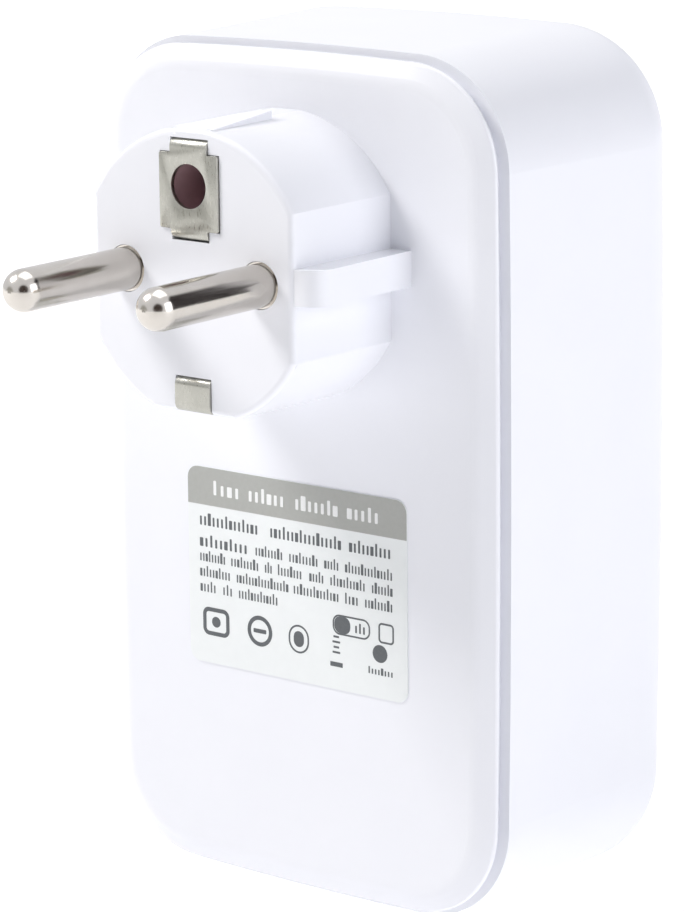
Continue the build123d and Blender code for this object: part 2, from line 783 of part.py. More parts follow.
# ------------------------------------------------------------------ socket contacts
# Each is a sprung metal channel: two leaves grip the pin from above and below, a web joins them
# on the outer side, and a tail behind takes the wire.
contact_tail_depth = carrier_back - 1.6
for side, pole, x in zip((-1, 1), pole_names, pin_xs):
    with BuildPart() as socket_contact:
        with BuildSketch(at_depth(contact_back)):
            with Locations((x + side * contact_thickness / 2, socket_z)):
                Rectangle(2 * contact_reach + contact_thickness, contact_gap + 2 * contact_thickness)
            with Locations((x - side * contact_thickness / 2, socket_z)):
                Rectangle(2 * contact_reach + contact_thickness, contact_gap, mode=Mode.SUBTRACT)
        extrude(amount=contact_length)
        with BuildSketch(at_depth(contact_tail_depth)):
            with Locations((x + side * (contact_reach + contact_thickness / 2), socket_z)):
                Rectangle(contact_thickness, 3.0)
        extrude(amount=contact_back - contact_tail_depth + 0.5)
    socket_contact.part.label = f"socket_contact_{pole}"
    export_step(socket_contact.part, f"parts/socket_contact_{pole}.step")

# Earth strap: a bar behind the carrier, with an arm at each end that stands along the wall of
# the recess and bulges inwards to touch the inserted plug.
strap_middle = carrier_back - 0.1 - strap_thickness / 2
arm_end = front_depth - 4.0
bulge_start = cup_floor_front + 3.0
upper_arm = [
    (strap_middle, socket_z),
    (strap_middle, arm_zs[0]),
    (bulge_start, arm_zs[0]),
    (bulge_start + 4.0, arm_zs[0] - strap_bulge),
    (arm_end - 2.5, arm_zs[0] - strap_bulge),
    (arm_end, arm_zs[0] + 0.2),
]
lower_arm = [(depth, 2 * socket_z - z) for depth, z in upper_arm]
with BuildPart() as socket_earth_strap:
    add(strip(upper_arm, 0.9, strap_thickness, strap_width))
    add(strip(lower_arm, 0.9, strap_thickness, strap_width))
socket_earth_strap.part.label = "socket_earth_strap"
export_step(socket_earth_strap.part, "parts/socket_earth_strap.step")

# ------------------------------------------------------------------ button, light ring, light pipe
ring_inner = button_radius + ring_clearance
ring_shoulder = front_depth - 1.9
skirt_front = ring_shoulder - 0.05
skirt_back = skirt_front - 0.8
plunger_front = switch_front + button_travel
stem_end = plunger_front + plunger_gap
with BuildPart() as light_ring:
    with BuildSketch(at_depth(skirt_back - button_travel - 0.7)):
        with Locations((0, button_z)):
            Circle(light_ring_radius)
    extrude(amount=front_depth + ring_proud - skirt_back + button_travel + 0.7)
    with BuildSketch(at_depth(front_inside - cup_clearance - 1.0)):
        with Locations((0, button_z)):
            Circle(light_ring_radius + ring_flange)
    extrude(amount=1.0)
    with BuildSketch(at_depth(skirt_back - button_travel - 1.0)):
        with Locations((0, button_z)):
            Circle(ring_inner)
    extrude(amount=front_depth, mode=Mode.SUBTRACT)
    with BuildSketch(at_depth(skirt_back - button_travel - 1.0)):
        with Locations((0, button_z)):
            Circle(button_radius + button_skirt + ring_clearance)
    extrude(amount=ring_shoulder - skirt_back + button_travel + 1.0, mode=Mode.SUBTRACT)
light_ring.part.label = "light_ring"
export_step(light_ring.part, "parts/light_ring.step")

with BuildPart() as power_button:
    with BuildSketch(at_depth(skirt_back)):
        with Locations((0, button_z)):
            Circle(button_radius)
    extrude(amount=front_depth + button_proud - skirt_back)
    fillet(power_button.faces().sort_by(Axis.Y)[0].edges(), button_edge_radius)
    with BuildSketch(at_depth(skirt_back)):
        with Locations((0, button_z)):
            Circle(button_radius + button_skirt)
    extrude(amount=skirt_front - skirt_back)
    with BuildSketch(at_depth(stem_end)):
        with Locations((0, button_z)):
            Circle(button_stem_radius)
    extrude(amount=skirt_back - stem_end)
power_button.part.label = "power_button"
export_step(power_button.part, "parts/power_button.step")

pipe_back = control_board_front + 1.8
with BuildPart() as status_light_pipe:
    with BuildSketch(at_depth(pipe_back)):
        with Locations((0, status_z)):
            Circle(status_pipe_radius)
    extrude(amount=front_depth - pipe_back)
    with BuildSketch(at_depth(front_inside - 1.1)):
        with Locations((0, status_z)):
            Circle(status_pipe_radius + status_flange)
    extrude(amount=1.0)
status_light_pipe.part.label = "status_light_pipe"
export_step(status_light_pipe.part, "parts/status_light_pipe.step")

# ------------------------------------------------------------------ tactile switch
plunger_room = 0.3
with BuildPart() as tact_switch:
    with BuildSketch(at_depth(control_board_front)) as switch_outline:
        with Locations((0, button_z)):
            Rectangle(switch_size, switch_size)
        fillet(switch_outline.vertices(), 0.4)
    extrude(amount=switch_height)
    with BuildSketch(at_depth(switch_front - 2 * button_travel - plunger_room)):
        with Locations((0, button_z)):
            Circle(plunger_radius + 0.05)
    extrude(amount=switch_height, mode=Mode.SUBTRACT)
tact_switch.part.label = "tact_switch"
export_step(tact_switch.part, "parts/tact_switch.step")

with BuildPart() as tact_switch_plunger:
    with BuildSketch(at_depth(switch_front - button_travel)):
        with Locations((0, button_z)):
            Circle(plunger_radius)
    extrude(amount=plunger_front - switch_front + button_travel)
    fillet(tact_switch_plunger.faces().sort_by(Axis.Y)[0].edges(), 0.2)
tact_switch_plunger.part.label = "tact_switch_plunger"
export_step(tact_switch_plunger.part, "parts/tact_switch_plunger.step")

# ------------------------------------------------------------------ control board
header_z = button_z - 15.7
header_pins = 6
header_pitch = 2.54
header_pin_size = 0.64
header_xs = [(i - (header_pins - 1) / 2) * header_pitch for i in range(header_pins)]
with BuildPart() as control_board:
    with BuildSketch(at_depth(control_board_back)) as control_outline:
        with Locations((0, control_board_middle)):
            Rectangle(control_board_width, control_board_height)
        fillet(control_outline.vertices(), 2.0)
        with Locations(*control_screw_places):
            Circle(board_screw_radius + 0.15, mode=Mode.SUBTRACT)
        with Locations(*[(x, header_z) for x in header_xs]):
            Rectangle(header_pin_size + 0.1, header_pin_size + 0.1, mode=Mode.SUBTRACT)
    extrude(amount=control_board_thickness)
control_board.part.label = "control_board"
export_step(control_board.part, "parts/control_board.step")

with BuildPart() as control_board_screws:
    add(
        screws(
            control_screw_places,
            control_board_back,
            board_screw_radius,
            control_screw_length,
            1.9,
            1.2,
            False,
        )
    )
control_board_screws.part.label = "control_board_screws"
export_step(control_board_screws.part, "parts/control_board_screws.step")

# Four light-emitting diodes round the switch shine into the ring
ring_led_orbit = light_ring_radius - ring_width / 2
with BuildPart() as ring_leds:
    with BuildSketch(at_depth(control_board_front)):
        with Locations((0, button_z)):
            with PolarLocations(ring_led_orbit, 4, start_angle=45):
                Rectangle(0.9, 1.6)
    extrude(amount=0.6)
ring_leds.part.label = "ring_leds"
export_step(ring_leds.part, "parts/ring_leds.step")

with BuildPart() as status_led:
    with BuildSketch(at_depth(control_board_front)):
        with Locations((0, status_z)):
            Rectangle(2.8, 3.5)
    extrude(amount=0.9)
    with BuildSketch(at_depth(control_board_front + 0.9)):
        with Locations((0, status_z)):
            Circle(1.1)
    extrude(amount=0.5)
status_led.part.label = "status_led"
export_step(status_led.part, "parts/status_led.step")

# Radio module soldered to the back of the control board
module_z = button_z + 3.0
module_width = 16.0
module_height = 20.0
module_thickness = 0.8
module_back = control_board_back - module_thickness
shield_height = 1.9
with BuildPart() as radio_module:
    with BuildSketch(at_depth(module_back)):
        with Locations((0, module_z)):
            Rectangle(module_width, module_height)
        edge_holes = [(side * module_width / 2, module_z - 8 + 2 * i) for side in (-1, 1) for i in range(6)]
        with Locations(*edge_holes):
            Circle(0.4, mode=Mode.SUBTRACT)
    extrude(amount=module_thickness)
radio_module.part.label = "radio_module"
export_step(radio_module.part, "parts/radio_module.step")

with BuildPart() as radio_shield:
    with BuildSketch(at_depth(module_back - shield_height)) as shield_outline:
        with Locations((0, module_z - 2.6)):
            Rectangle(module_width - 3.0, module_height - 6.8)
        fillet(shield_outline.vertices(), 0.8)
    extrude(amount=shield_height)
    fillet(radio_shield.faces().sort_by(Axis.Y)[-1].edges(), 0.4)
radio_shield.part.label = "radio_shield"
export_step(radio_shield.part, "parts/radio_shield.step")

# ------------------------------------------------------------------ main board
with BuildPart() as main_board:
    with BuildSketch(at_depth(main_board_back)) as board_outline:
        with Locations((0, main_board_middle)):
            Rectangle(main_board_width, main_board_height)
        fillet(board_outline.vertices().group_by(Axis.Y)[0], main_board_corner)
        fillet(board_outline.vertices().group_by(Axis.Y)[-1], 2.0)
        with Locations(*board_screw_places):
            Circle(board_screw_radius + 0.15, mode=Mode.SUBTRACT)
        with Locations(*[(x, header_z) for x in header_xs]):
            Rectangle(header_pin_size + 0.1, header_pin_size + 0.1, mode=Mode.SUBTRACT)
    extrude(amount=main_board_thickness)
main_board.part.label = "main_board"
export_step(main_board.part, "parts/main_board.step")

with BuildPart() as main_board_screws:
    add(
        screws(
            board_screw_places,
            main_board_front,
            board_screw_radius,
            board_screw_length,
            board_screw_head,
            board_screw_head_height,
            True,
        )
    )
main_board_screws.part.label = "main_board_screws"
export_step(main_board_screws.part, "parts/main_board_screws.step")

# Header of square posts that joins the two boards
with BuildPart() as board_header:
    with BuildSketch(at_depth(main_board_front)):
        with Locations((0, header_z)):
            Rectangle(header_pins * header_pitch, header_pitch)
    extrude(amount=2.5)
    with BuildSketch(at_depth(main_board_back - 0.8)):
        with Locations(*[(x, header_z) for x in header_xs]):
            Rectangle(header_pin_size, header_pin_size)
    extrude(amount=control_board_front + 0.6 - main_board_back + 0.8)
board_header.part.label = "board_header"
export_step(board_header.part, "parts/board_header.step")

# ------------------------------------------------------------------ parts on the main board
relay_x, relay_z = -12.6, main_board_top - 17.0
relay_width, relay_height, relay_tall = 19.0, 15.5, 15.0
with BuildPart() as relay:
    with BuildSketch(at_depth(main_board_front)) as relay_outline:
        with Locations((relay_x, relay_z)):
            Rectangle(relay_width, relay_height)
        fillet(relay_outline.vertices(), 0.8)
    extrude(amount=relay_tall)
    fillet(relay.faces().sort_by(Axis.Y)[0].edges(), 0.5)
relay.part.label = "relay"
export_step(relay.part, "parts/relay.step")

# Small switching transformer: an eight-shaped ferrite core round a taped winding
core_x, core_z = 13.0, main_board_top - 11.0
core_width, core_tall, core_length = 17.0, 14.0, 5.6
core_leg = 4.6
core_window = 3.4
core_yoke = 2.4
winding_gap = 0.12
with BuildPart() as transformer_core:
    with BuildSketch(plan_plane(core_z)):
        with Locations((core_x, main_board_front + core_tall / 2)):
            Rectangle(core_width, core_tall)
            for side in (-1, 1):
                with Locations((side * (core_leg + core_window) / 2, 0)):
                    Rectangle(core_window, core_tall - 2 * core_yoke, mode=Mode.SUBTRACT)
    extrude(amount=core_length / 2, both=True)
transformer_core.part.label = "transformer_core"
export_step(transformer_core.part, "parts/transformer_core.step")

with BuildPart() as transformer_winding:
    with BuildSketch(at_depth(main_board_front + core_yoke + winding_gap)) as winding_outline:
        with Locations((core_x, core_z)):
            Rectangle(core_leg + 2 * core_window - 2 * winding_gap, 12.6)
        fillet(winding_outline.vertices(), 1.5)
        with Locations((core_x, core_z)):
            Rectangle(core_leg + 2 * winding_gap, core_length + 2 * winding_gap, mode=Mode.SUBTRACT)
    extrude(amount=core_tall - 2 * core_yoke - 2 * winding_gap)
transformer_winding.part.label = "transformer_winding"
export_step(transformer_winding.part, "parts/transformer_winding.step")

# Two electrolytic capacitors, each a can with a rolled groove near its foot
can_places = {"input_capacitor": (-15.5, -32.0, 4.0, 12.0), "output_capacitor": (-5.5, -31.5, 3.6, 11.0)}
for name, (x, below_top, radius, tall) in can_places.items():
    z = main_board_top + below_top + 2.0
    with BuildPart() as capacitor:
        with BuildSketch(at_depth(main_board_front)):
            with Locations((x, z)):
                Circle(radius)
        extrude(amount=tall)
        fillet(capacitor.faces().sort_by(Axis.Y)[0].edges(), 0.5)
        groove_ring = (x + radius, main_board_front + 1.8)
        with BuildSketch(plan_plane(z)):
            with Locations(groove_ring):
                Circle(0.4)
        revolve(axis=depth_axis(x, z), mode=Mode.SUBTRACT)
    capacitor.part.label = name
    export_step(capacitor.part, f"parts/{name}.step")

with BuildPart() as film_capacitor:
    with BuildSketch(at_depth(main_board_front)) as film_outline:
        with Locations((10.0, main_board_top - 21.5)):
            Rectangle(13.0, 5.0)
        fillet(film_outline.vertices(), 0.5)
    extrude(amount=11.0)
    fillet(film_capacitor.faces().sort_by(Axis.Y)[0].edges(), 0.4)
film_capacitor.part.label = "film_capacitor"
export_step(film_capacitor.part, "parts/film_capacitor.step")

varistor_radius = 4.5
varistor_thickness = 3.6
with BuildPart() as varistor:
    with BuildSketch(side_plane(6.0)):
        with Locations((main_board_front + varistor_radius + 0.8, main_board_top - 29.8)):
            Circle(varistor_radius)
        with Locations((main_board_front + 1.0, main_board_top - 29.8)):
            Rectangle(2.0, 5.0)
    extrude(amount=varistor_thickness / 2, both=True)
    fillet(varistor.faces().filter_by(Axis.X).edges().filter_by(GeomType.CIRCLE), 1.0)
varistor.part.label = "varistor"
export_step(varistor.part, "parts/varistor.step")

with BuildPart() as fuse:
    with BuildSketch(side_plane(15.0)):
        with Locations((main_board_front + 2.0, main_board_top - 26.5)):
            Circle(1.75)
    extrude(amount=4.4, both=True)
    for side in (-1, 1):
        with BuildSketch(side_plane(15.0 + side * 3.6)):
            with Locations((main_board_front + 2.0, main_board_top - 26.5)):
                Circle(2.0)
        extrude(amount=1.2, both=True)
fuse.part.label = "fuse"
export_step(fuse.part, "parts/fuse.step")

with BuildPart() as bridge_rectifier:
    with BuildSketch(at_depth(main_board_front)) as rectifier_outline:
        with Locations((14.5, main_board_top - 32.0)):
            Rectangle(6.6, 4.8)
        fillet(rectifier_outline.vertices(), 0.4)
    extrude(amount=2.6)
bridge_rectifier.part.label = "bridge_rectifier"
export_step(bridge_rectifier.part, "parts/bridge_rectifier.step")

with BuildPart() as inductor:
    foot_depth, inductor_x, inductor_z = main_board_front, -13.5, main_board_top - 4.6
    with BuildSketch(plan_plane(inductor_z)):
        with BuildLine():
            Polyline(
                (inductor_x, foot_depth),
                (inductor_x + 2.6, foot_depth),
                (inductor_x + 2.6, foot_depth + 1.0),
                (inductor_x + 1.9, foot_depth + 1.4),
                (inductor_x + 1.9, foot_depth + 6.0),
                (inductor_x + 2.6, foot_depth + 6.4),
                (inductor_x + 2.6, foot_depth + 7.4),
                (inductor_x, foot_depth + 7.4),
                close=True,
            )
        make_face()
    revolve(axis=depth_axis(inductor_x, inductor_z))
inductor.part.label = "inductor"
export_step(inductor.part, "parts/inductor.step")

# Sheet of insulation between the mains parts and the control board
sheet_depth = main_board_front + relay_tall + 0.05
sheet_thickness = 0.35
with BuildPart() as insulating_sheet:
    with BuildSketch(at_depth(sheet_depth)) as sheet_outline:
        with Locations((0, main_board_middle)):
            Rectangle(main_board_width - 4.0, main_board_height - 2.0)
        fillet(sheet_outline.vertices().group_by(Axis.Y)[0], main_board_corner)
        with Locations((0, header_z)):
            Rectangle(header_pins * header_pitch + 1.0, header_pitch, mode=Mode.SUBTRACT)
    extrude(amount=sheet_thickness)
insulating_sheet.part.label = "insulating_sheet"
export_step(insulating_sheet.part, "parts/insulating_sheet.step")

# ------------------------------------------------------------------ wires
# Plug pins to the back of the main board, board to the socket contacts, and earth to the strap.
behind_cover = cover_inside + wire_radius + 0.35
pad_x = 17.5
pad_z = main_board_top - 2.0
for side, pole, x in zip((-1, 1), pole_names, pin_xs):
    inner_x = side * 4.6
    with BuildPart() as pin_lead:
        add(
            lead(
                [
                    (x, pin_post_end, 0),
                    (x, pin_post_end + 3.5, 0),
                    (inner_x, pin_post_end + 5.0, -6.0),
                    (inner_x, behind_cover, -11.0),
                    (side * 9.0, behind_cover, -21.0),
                    (side * pad_x, behind_cover, pad_z),
                    (side * pad_x, main_board_back, pad_z),
                ],
                1.5,
            )
        )
    pin_lead.part.label = f"pin_lead_{pole}"
    export_step(pin_lead.part, f"parts/pin_lead_{pole}.step")

tail_x = pin_spacing / 2 + contact_reach + contact_thickness
for side, pole in zip((-1, 1), pole_names):
    with BuildPart() as socket_lead:
        add(
            lead(
                [
                    (side * (pad_x + 3.8), main_board_front, pad_z),
                    (side * (pad_x + 3.8), main_board_front + 4.0, pad_z),
                    (side * 21.0, main_board_front + 4.0, -24.0),
                    (side * 21.0, behind_cover, -12.0),
                    (side * 18.0, behind_cover, socket_z),
                    (side * (tail_x), behind_cover, socket_z),
                ],
                1.5,
            )
        )
    socket_lead.part.label = f"socket_lead_{pole}"
    export_step(socket_lead.part, f"parts/socket_lead_{pole}.step")

with BuildPart() as earth_lead:
    add(
        lead(
            [
                (0, tail_end + clip_thickness, -2.0),
                (0, tail_end + clip_thickness + 4.0, -2.0),
                (0, strap_middle - strap_thickness / 2 - 4.0, socket_z),
                (0, strap_middle - strap_thickness / 2, socket_z),
            ],
            3.0,
        )
    )
earth_lead.part.label = "earth_lead"
export_step(earth_lead.part, "parts/earth_lead.step")
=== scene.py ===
# %% [markdown]
# # A smart plug, seen from its wall side
#
# The object is a tall white switch that stands between a wall socket and an appliance. Its back
# carries a round plug with two nickel pins and two earth clips, and its front has a socket, a
# button and a ring of light. The shapes and the moving parts come from a CAD model. This lesson
# adds what CAD leaves out: the finish of every piece, the printed label, the softened edges of
# the pressed metal, and the light of a small product studio.
#
# The CAD model is loaded first. Its box is kept and printed at the end.

# %% Load the CAD frame
import bmesh
import bpy
import json
import math
from mathutils import Matrix, Quaternion, Vector


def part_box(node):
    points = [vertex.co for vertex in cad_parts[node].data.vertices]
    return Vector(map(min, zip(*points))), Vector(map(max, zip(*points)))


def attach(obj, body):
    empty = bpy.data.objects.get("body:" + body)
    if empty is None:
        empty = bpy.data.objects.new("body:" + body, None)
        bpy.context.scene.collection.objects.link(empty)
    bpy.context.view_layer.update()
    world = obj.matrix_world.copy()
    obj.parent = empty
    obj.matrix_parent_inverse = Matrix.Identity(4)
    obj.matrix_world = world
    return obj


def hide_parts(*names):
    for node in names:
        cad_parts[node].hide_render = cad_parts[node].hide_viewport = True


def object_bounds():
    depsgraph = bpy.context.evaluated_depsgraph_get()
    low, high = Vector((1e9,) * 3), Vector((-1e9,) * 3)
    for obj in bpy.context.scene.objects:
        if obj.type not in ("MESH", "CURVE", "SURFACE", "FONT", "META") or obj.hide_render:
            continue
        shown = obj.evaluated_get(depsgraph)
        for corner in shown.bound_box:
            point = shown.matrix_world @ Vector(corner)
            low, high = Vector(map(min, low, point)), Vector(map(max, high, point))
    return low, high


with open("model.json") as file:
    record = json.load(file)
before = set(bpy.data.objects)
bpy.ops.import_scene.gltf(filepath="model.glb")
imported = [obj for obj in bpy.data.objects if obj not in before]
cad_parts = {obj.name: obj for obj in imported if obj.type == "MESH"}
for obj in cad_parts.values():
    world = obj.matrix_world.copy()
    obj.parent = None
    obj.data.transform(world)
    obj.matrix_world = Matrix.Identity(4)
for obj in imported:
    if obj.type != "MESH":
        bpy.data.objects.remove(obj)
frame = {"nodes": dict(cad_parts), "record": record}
cad_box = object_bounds()
MM = 0.001

# %% [markdown]
# ## Colours and nodes
#
# A colour is picked on a screen as an sRGB hex value, but light adds up in linear numbers, so
# one function turns the first into the second. One more function adds a shader node: it sets
# the node's properties, and each input takes either a value or another node's output.

# %% Two helpers for every material
def colour(hex_code):
    """The linear RGBA colour of an sRGB hex value."""
    channels = [int(hex_code[i : i + 2], 16) / 255 for i in (1, 3, 5)]
    linear = [c / 12.92 if c <= 0.04045 else ((c + 0.055) / 1.055) ** 2.4 for c in channels]
    return linear + [1.0]


def add_node(tree, kind, properties=None, inputs=None):
    """Adds a node. A property is set on it, and an input takes a value or an output socket."""
    node = tree.nodes.new(kind)
    for name, value in (properties or {}).items():
        setattr(node, name, value)
    for name, value in (inputs or {}).items():
        if isinstance(value, bpy.types.NodeSocket):
            tree.links.new(value, node.inputs[name])
        else:
            node.inputs[name].default_value = value
    return node


def start_material(name, turn=(0, 0, 0), stretch=(1, 1, 1), centre=(0, 0, 0)):
    """A new material, its Principled shader, and its pattern's place in metres."""
    material = bpy.data.materials.new(name)
    material.use_nodes = True
    tree = material.node_tree
    place = add_node(tree, "ShaderNodeTexCoord").outputs["Object"]
    mapping = add_node(tree, "ShaderNodeMapping", {"vector_type": "TEXTURE"}, {
        "Vector": place, "Location": centre, "Rotation": turn, "Scale": stretch,
    })
    return material, tree, tree.nodes["Principled BSDF"], mapping.outputs["Vector"]


def per_metre(size_mm):
    """A texture's scale for features of this size."""
    return 1 / (size_mm * MM)


print("white ABS in linear light", [round(c, 3) for c in colour("#F4F5FA")])

# %% [markdown]
# ## Moulded plastic
#
# The case is ABS blended with polycarbonate, injected into a polished steel mould. Three things
# show that it is moulded and not painted. The skin has a faint orange peel, ripples a few
# millimetres long. The pigment is not perfectly even. And handling leaves patches that are a
# little duller. Each is a noise texture: one feeds the bump, one the colour, one the roughness.
# The inner parts use the same recipe with coarser grain, because their moulds are spark-eroded.

# %% A recipe for moulded plastic
def moulded_plastic(name, light, dark, roughness, peel=0.02, grain_mm=0.25, grain=0.0):
    """ABS, nylon or another moulded plastic, from its two pigment shades and its skin."""
    material, tree, shader, place = start_material(name)
    cloud = add_node(tree, "ShaderNodeTexNoise", None, {
        "Vector": place, "Scale": per_metre(9), "Detail": 3.0, "Roughness": 0.55,
    })
    shade = add_node(tree, "ShaderNodeMix", {"data_type": "RGBA"}, {
        "Factor": cloud.outputs["Fac"], "A": colour(light), "B": colour(dark),
    })
    tree.links.new(shade.outputs["Result"], shader.inputs["Base Color"])
    smudge = add_node(tree, "ShaderNodeTexNoise", None, {
        "Vector": place, "Scale": per_metre(14), "Detail": 2.0,
    })
    dullness = add_node(tree, "ShaderNodeMapRange", {"interpolation_type": "SMOOTHSTEP"}, {
        "Value": smudge.outputs["Fac"], "From Min": 0.2, "From Max": 0.8,
        "To Min": roughness, "To Max": roughness + 0.03,
    })
    tree.links.new(dullness.outputs["Result"], shader.inputs["Roughness"])
    ripple = add_node(tree, "ShaderNodeTexNoise", None, {
        "Vector": place, "Scale": per_metre(2.4), "Detail": 1.0,
    })
    peel_bump = add_node(tree, "ShaderNodeBump", None, {
        "Strength": peel, "Distance": 0.05 * MM, "Height": ripple.outputs["Fac"],
    })
    speck = add_node(tree, "ShaderNodeTexNoise", None, {
        "Vector": place, "Scale": per_metre(grain_mm), "Detail": 2.0,
    })
    grain_bump = add_node(tree, "ShaderNodeBump", None, {
        "Strength": grain, "Distance": 0.02 * MM,
        "Height": speck.outputs["Fac"], "Normal": peel_bump.outputs["Normal"],
    })
    tree.links.new(grain_bump.outputs["Normal"], shader.inputs["Normal"])
    shader.inputs["IOR"].default_value = 1.53
    return material


finish = {
    "white_cover": moulded_plastic(
        "gloss_white_abs", "#F0F1F6", "#EDEEF4", 0.24, peel=0.25, grain=0.05,
    ),
    "white_housing": moulded_plastic(
        "satin_white_abs", "#F0F1F6", "#EDEEF4", 0.3, peel=0.25, grain=0.08,
    ),
    "white_cup": moulded_plastic(
        "matt_white_pc", "#F0F1F6", "#EBECF2", 0.42, grain_mm=0.35, grain=0.5,
    ),
    "white_button": moulded_plastic(
        "polished_white_pc", "#F5F6FC", "#F2F3F9", 0.18, peel=0.25, grain=0.0,
    ),
    "grey_plastic": moulded_plastic(
        "grey_nylon", "#8B8F94", "#7F8388", 0.5, grain_mm=0.4, grain=0.7,
    ),
    "black_plastic": moulded_plastic(
        "black_pbt", "#1E1F21", "#17181A", 0.45, grain_mm=0.4, grain=0.7,
    ),
    "blue_plastic": moulded_plastic(
        "blue_pbt", "#2C5FB4", "#2656A6", 0.38, grain_mm=0.4, grain=0.5,
    ),
    "yellow_case": moulded_plastic(
        "yellow_pbt", "#E3B63A", "#D8AB30", 0.4, grain_mm=0.4, grain=0.5,
    ),
    "led_body": moulded_plastic("cream_epoxy", "#F2E9C4", "#EADFA9", 0.3, grain_mm=0.2, grain=0.2),
}
# The well lining's brown is partly phenolic resin's own colour and partly painted shade for the deep
# well.
brown_resin_and_well_shade = moulded_plastic("brown_phenolic_and_painted_shade", "#D2B2B8", "#A88A90", 0.45, grain_mm=0.3, grain=0.4)
print("moulded plastics", sorted(finish))

# %% [markdown]
# ## Plated, rolled and drawn metal
#
# The pins are turned brass with nickel on top. The nickel is nearly a mirror, a little yellow
# beside chrome, and pushing the pins into sockets draws hair-fine scratches along them. The
# clips are punched out of rolled strip, so their grain runs the long way of the strip. Both are
# the same recipe: noise that is stretched along the grain moves the roughness and a shallow
# bump, and a slow noise stands for tarnish. Metals keep the shader's own index of refraction.

# %% A recipe for metal with a grain
def grained_metal(name, bright, tarnished, roughness, grain_axis, grain_mm=0.12, depth=0.2, stretch=30):
    """A metal whose scratches run along one axis: 0 is X, 1 is Y and 2 is Z."""
    lengthening = [1.0, 1.0, 1.0]
    lengthening[grain_axis] = stretch
    material, tree, shader, place = start_material(name, stretch=lengthening)
    scratch = add_node(tree, "ShaderNodeTexNoise", None, {
        "Vector": place, "Scale": per_metre(grain_mm), "Detail": 3.0, "Roughness": 0.6,
    })
    plain_place = add_node(tree, "ShaderNodeTexCoord").outputs["Object"]
    tarnish = add_node(tree, "ShaderNodeTexNoise", None, {
        "Vector": plain_place, "Scale": per_metre(3.5), "Detail": 5.0, "Roughness": 0.6,
    })
    shade = add_node(tree, "ShaderNodeMix", {"data_type": "RGBA"}, {
        "Factor": tarnish.outputs["Fac"], "A": colour(bright), "B": colour(tarnished),
    })
    tree.links.new(shade.outputs["Result"], shader.inputs["Base Color"])
    dullness = add_node(tree, "ShaderNodeMapRange", None, {
        "Value": scratch.outputs["Fac"], "From Min": 0.3, "From Max": 0.7,
        "To Min": roughness * 0.75, "To Max": roughness * 1.35,
    })
    tree.links.new(dullness.outputs["Result"], shader.inputs["Roughness"])
    bump = add_node(tree, "ShaderNodeBump", None, {
        "Strength": depth, "Distance": 0.004 * MM, "Height": scratch.outputs["Fac"],
    })
    tree.links.new(bump.outputs["Normal"], shader.inputs["Normal"])
    shader.inputs["Metallic"].default_value = 1.0
    return material


finish.update({
    "nickel_plate": grained_metal("nickel_plated_brass", "#D6D1CA", "#C2BDB5", 0.17, 1),
    "nickel_sheet": grained_metal(
        "nickel_plated_strip", "#BDBCB4", "#A3A29A", 0.3, 2, grain_mm=0.12, depth=0.06, stretch=6,
    ),
    "brass_sheet": grained_metal("rolled_brass", "#D9B36A", "#B9924E", 0.28, 2, grain_mm=0.2, depth=0.5),
    "spring_steel": grained_metal(
        "drawn_spring_steel", "#B9BABD", "#8F9195", 0.3, 2, grain_mm=0.1, depth=0.3,
    ),
    "zinc_screw": grained_metal(
        "zinc_plated_steel", "#C8CBCE", "#A7A99F", 0.32, 1, grain_mm=0.15, depth=0.4,
    ),
    "shield_tin": grained_metal("tinned_steel", "#CFCFCC", "#B1B1AC", 0.36, 0, grain_mm=0.3, depth=0.4),
})
metals = [
    made.name for made in finish.values()
    if made.node_tree.nodes["Principled BSDF"].inputs["Metallic"].default_value
]
print("metals", metals)

# %% [markdown]
# ## Parts with a finish of their own
#
# Inside the case are parts whose look is neither plain plastic nor bare metal. A wire's PVC is
# glossy and shows the lay of its strands. A varistor and a film capacitor are dipped in lacquer,
# which dries in a soft ripple. Ferrite is pressed from powder, so it is dark, dull and grainy.

# %% Wires, dipped lacquer and pressed powder
def wire_insulation(name, light, dark):
    """Extruded PVC: glossy, with a slow wave where the strands press from inside."""
    material, tree, shader, place = start_material(name, stretch=(1, 1, 3))
    strands = add_node(tree, "ShaderNodeTexNoise", None, {
        "Vector": place, "Scale": per_metre(0.6), "Detail": 2.0,
    })
    shade = add_node(tree, "ShaderNodeMix", {"data_type": "RGBA"}, {
        "Factor": strands.outputs["Fac"], "A": colour(light), "B": colour(dark),
    })
    tree.links.new(shade.outputs["Result"], shader.inputs["Base Color"])
    bump = add_node(tree, "ShaderNodeBump", None, {
        "Strength": 0.3, "Distance": 0.03 * MM, "Height": strands.outputs["Fac"],
    })
    tree.links.new(bump.outputs["Normal"], shader.inputs["Normal"])
    shader.inputs["Roughness"].default_value = 0.32
    return material


def dipped_lacquer(name, light, dark):
    """Epoxy lacquer from a dip bath: glossy, with a ripple where it ran."""
    material, tree, shader, place = start_material(name)
    run = add_node(tree, "ShaderNodeTexNoise", None, {
        "Vector": place, "Scale": per_metre(1.6), "Detail": 3.0, "Distortion": 0.8,
    })
    shade = add_node(tree, "ShaderNodeMix", {"data_type": "RGBA"}, {
        "Factor": run.outputs["Fac"], "A": colour(light), "B": colour(dark),
    })
    tree.links.new(shade.outputs["Result"], shader.inputs["Base Color"])
    bump = add_node(tree, "ShaderNodeBump", None, {
        "Strength": 0.5, "Distance": 0.08 * MM, "Height": run.outputs["Fac"],
    })
    tree.links.new(bump.outputs["Normal"], shader.inputs["Normal"])
    shader.inputs["Roughness"].default_value = 0.22
    shader.inputs["Coat Weight"].default_value = 0.5
    shader.inputs["Coat Roughness"].default_value = 0.1
    return material


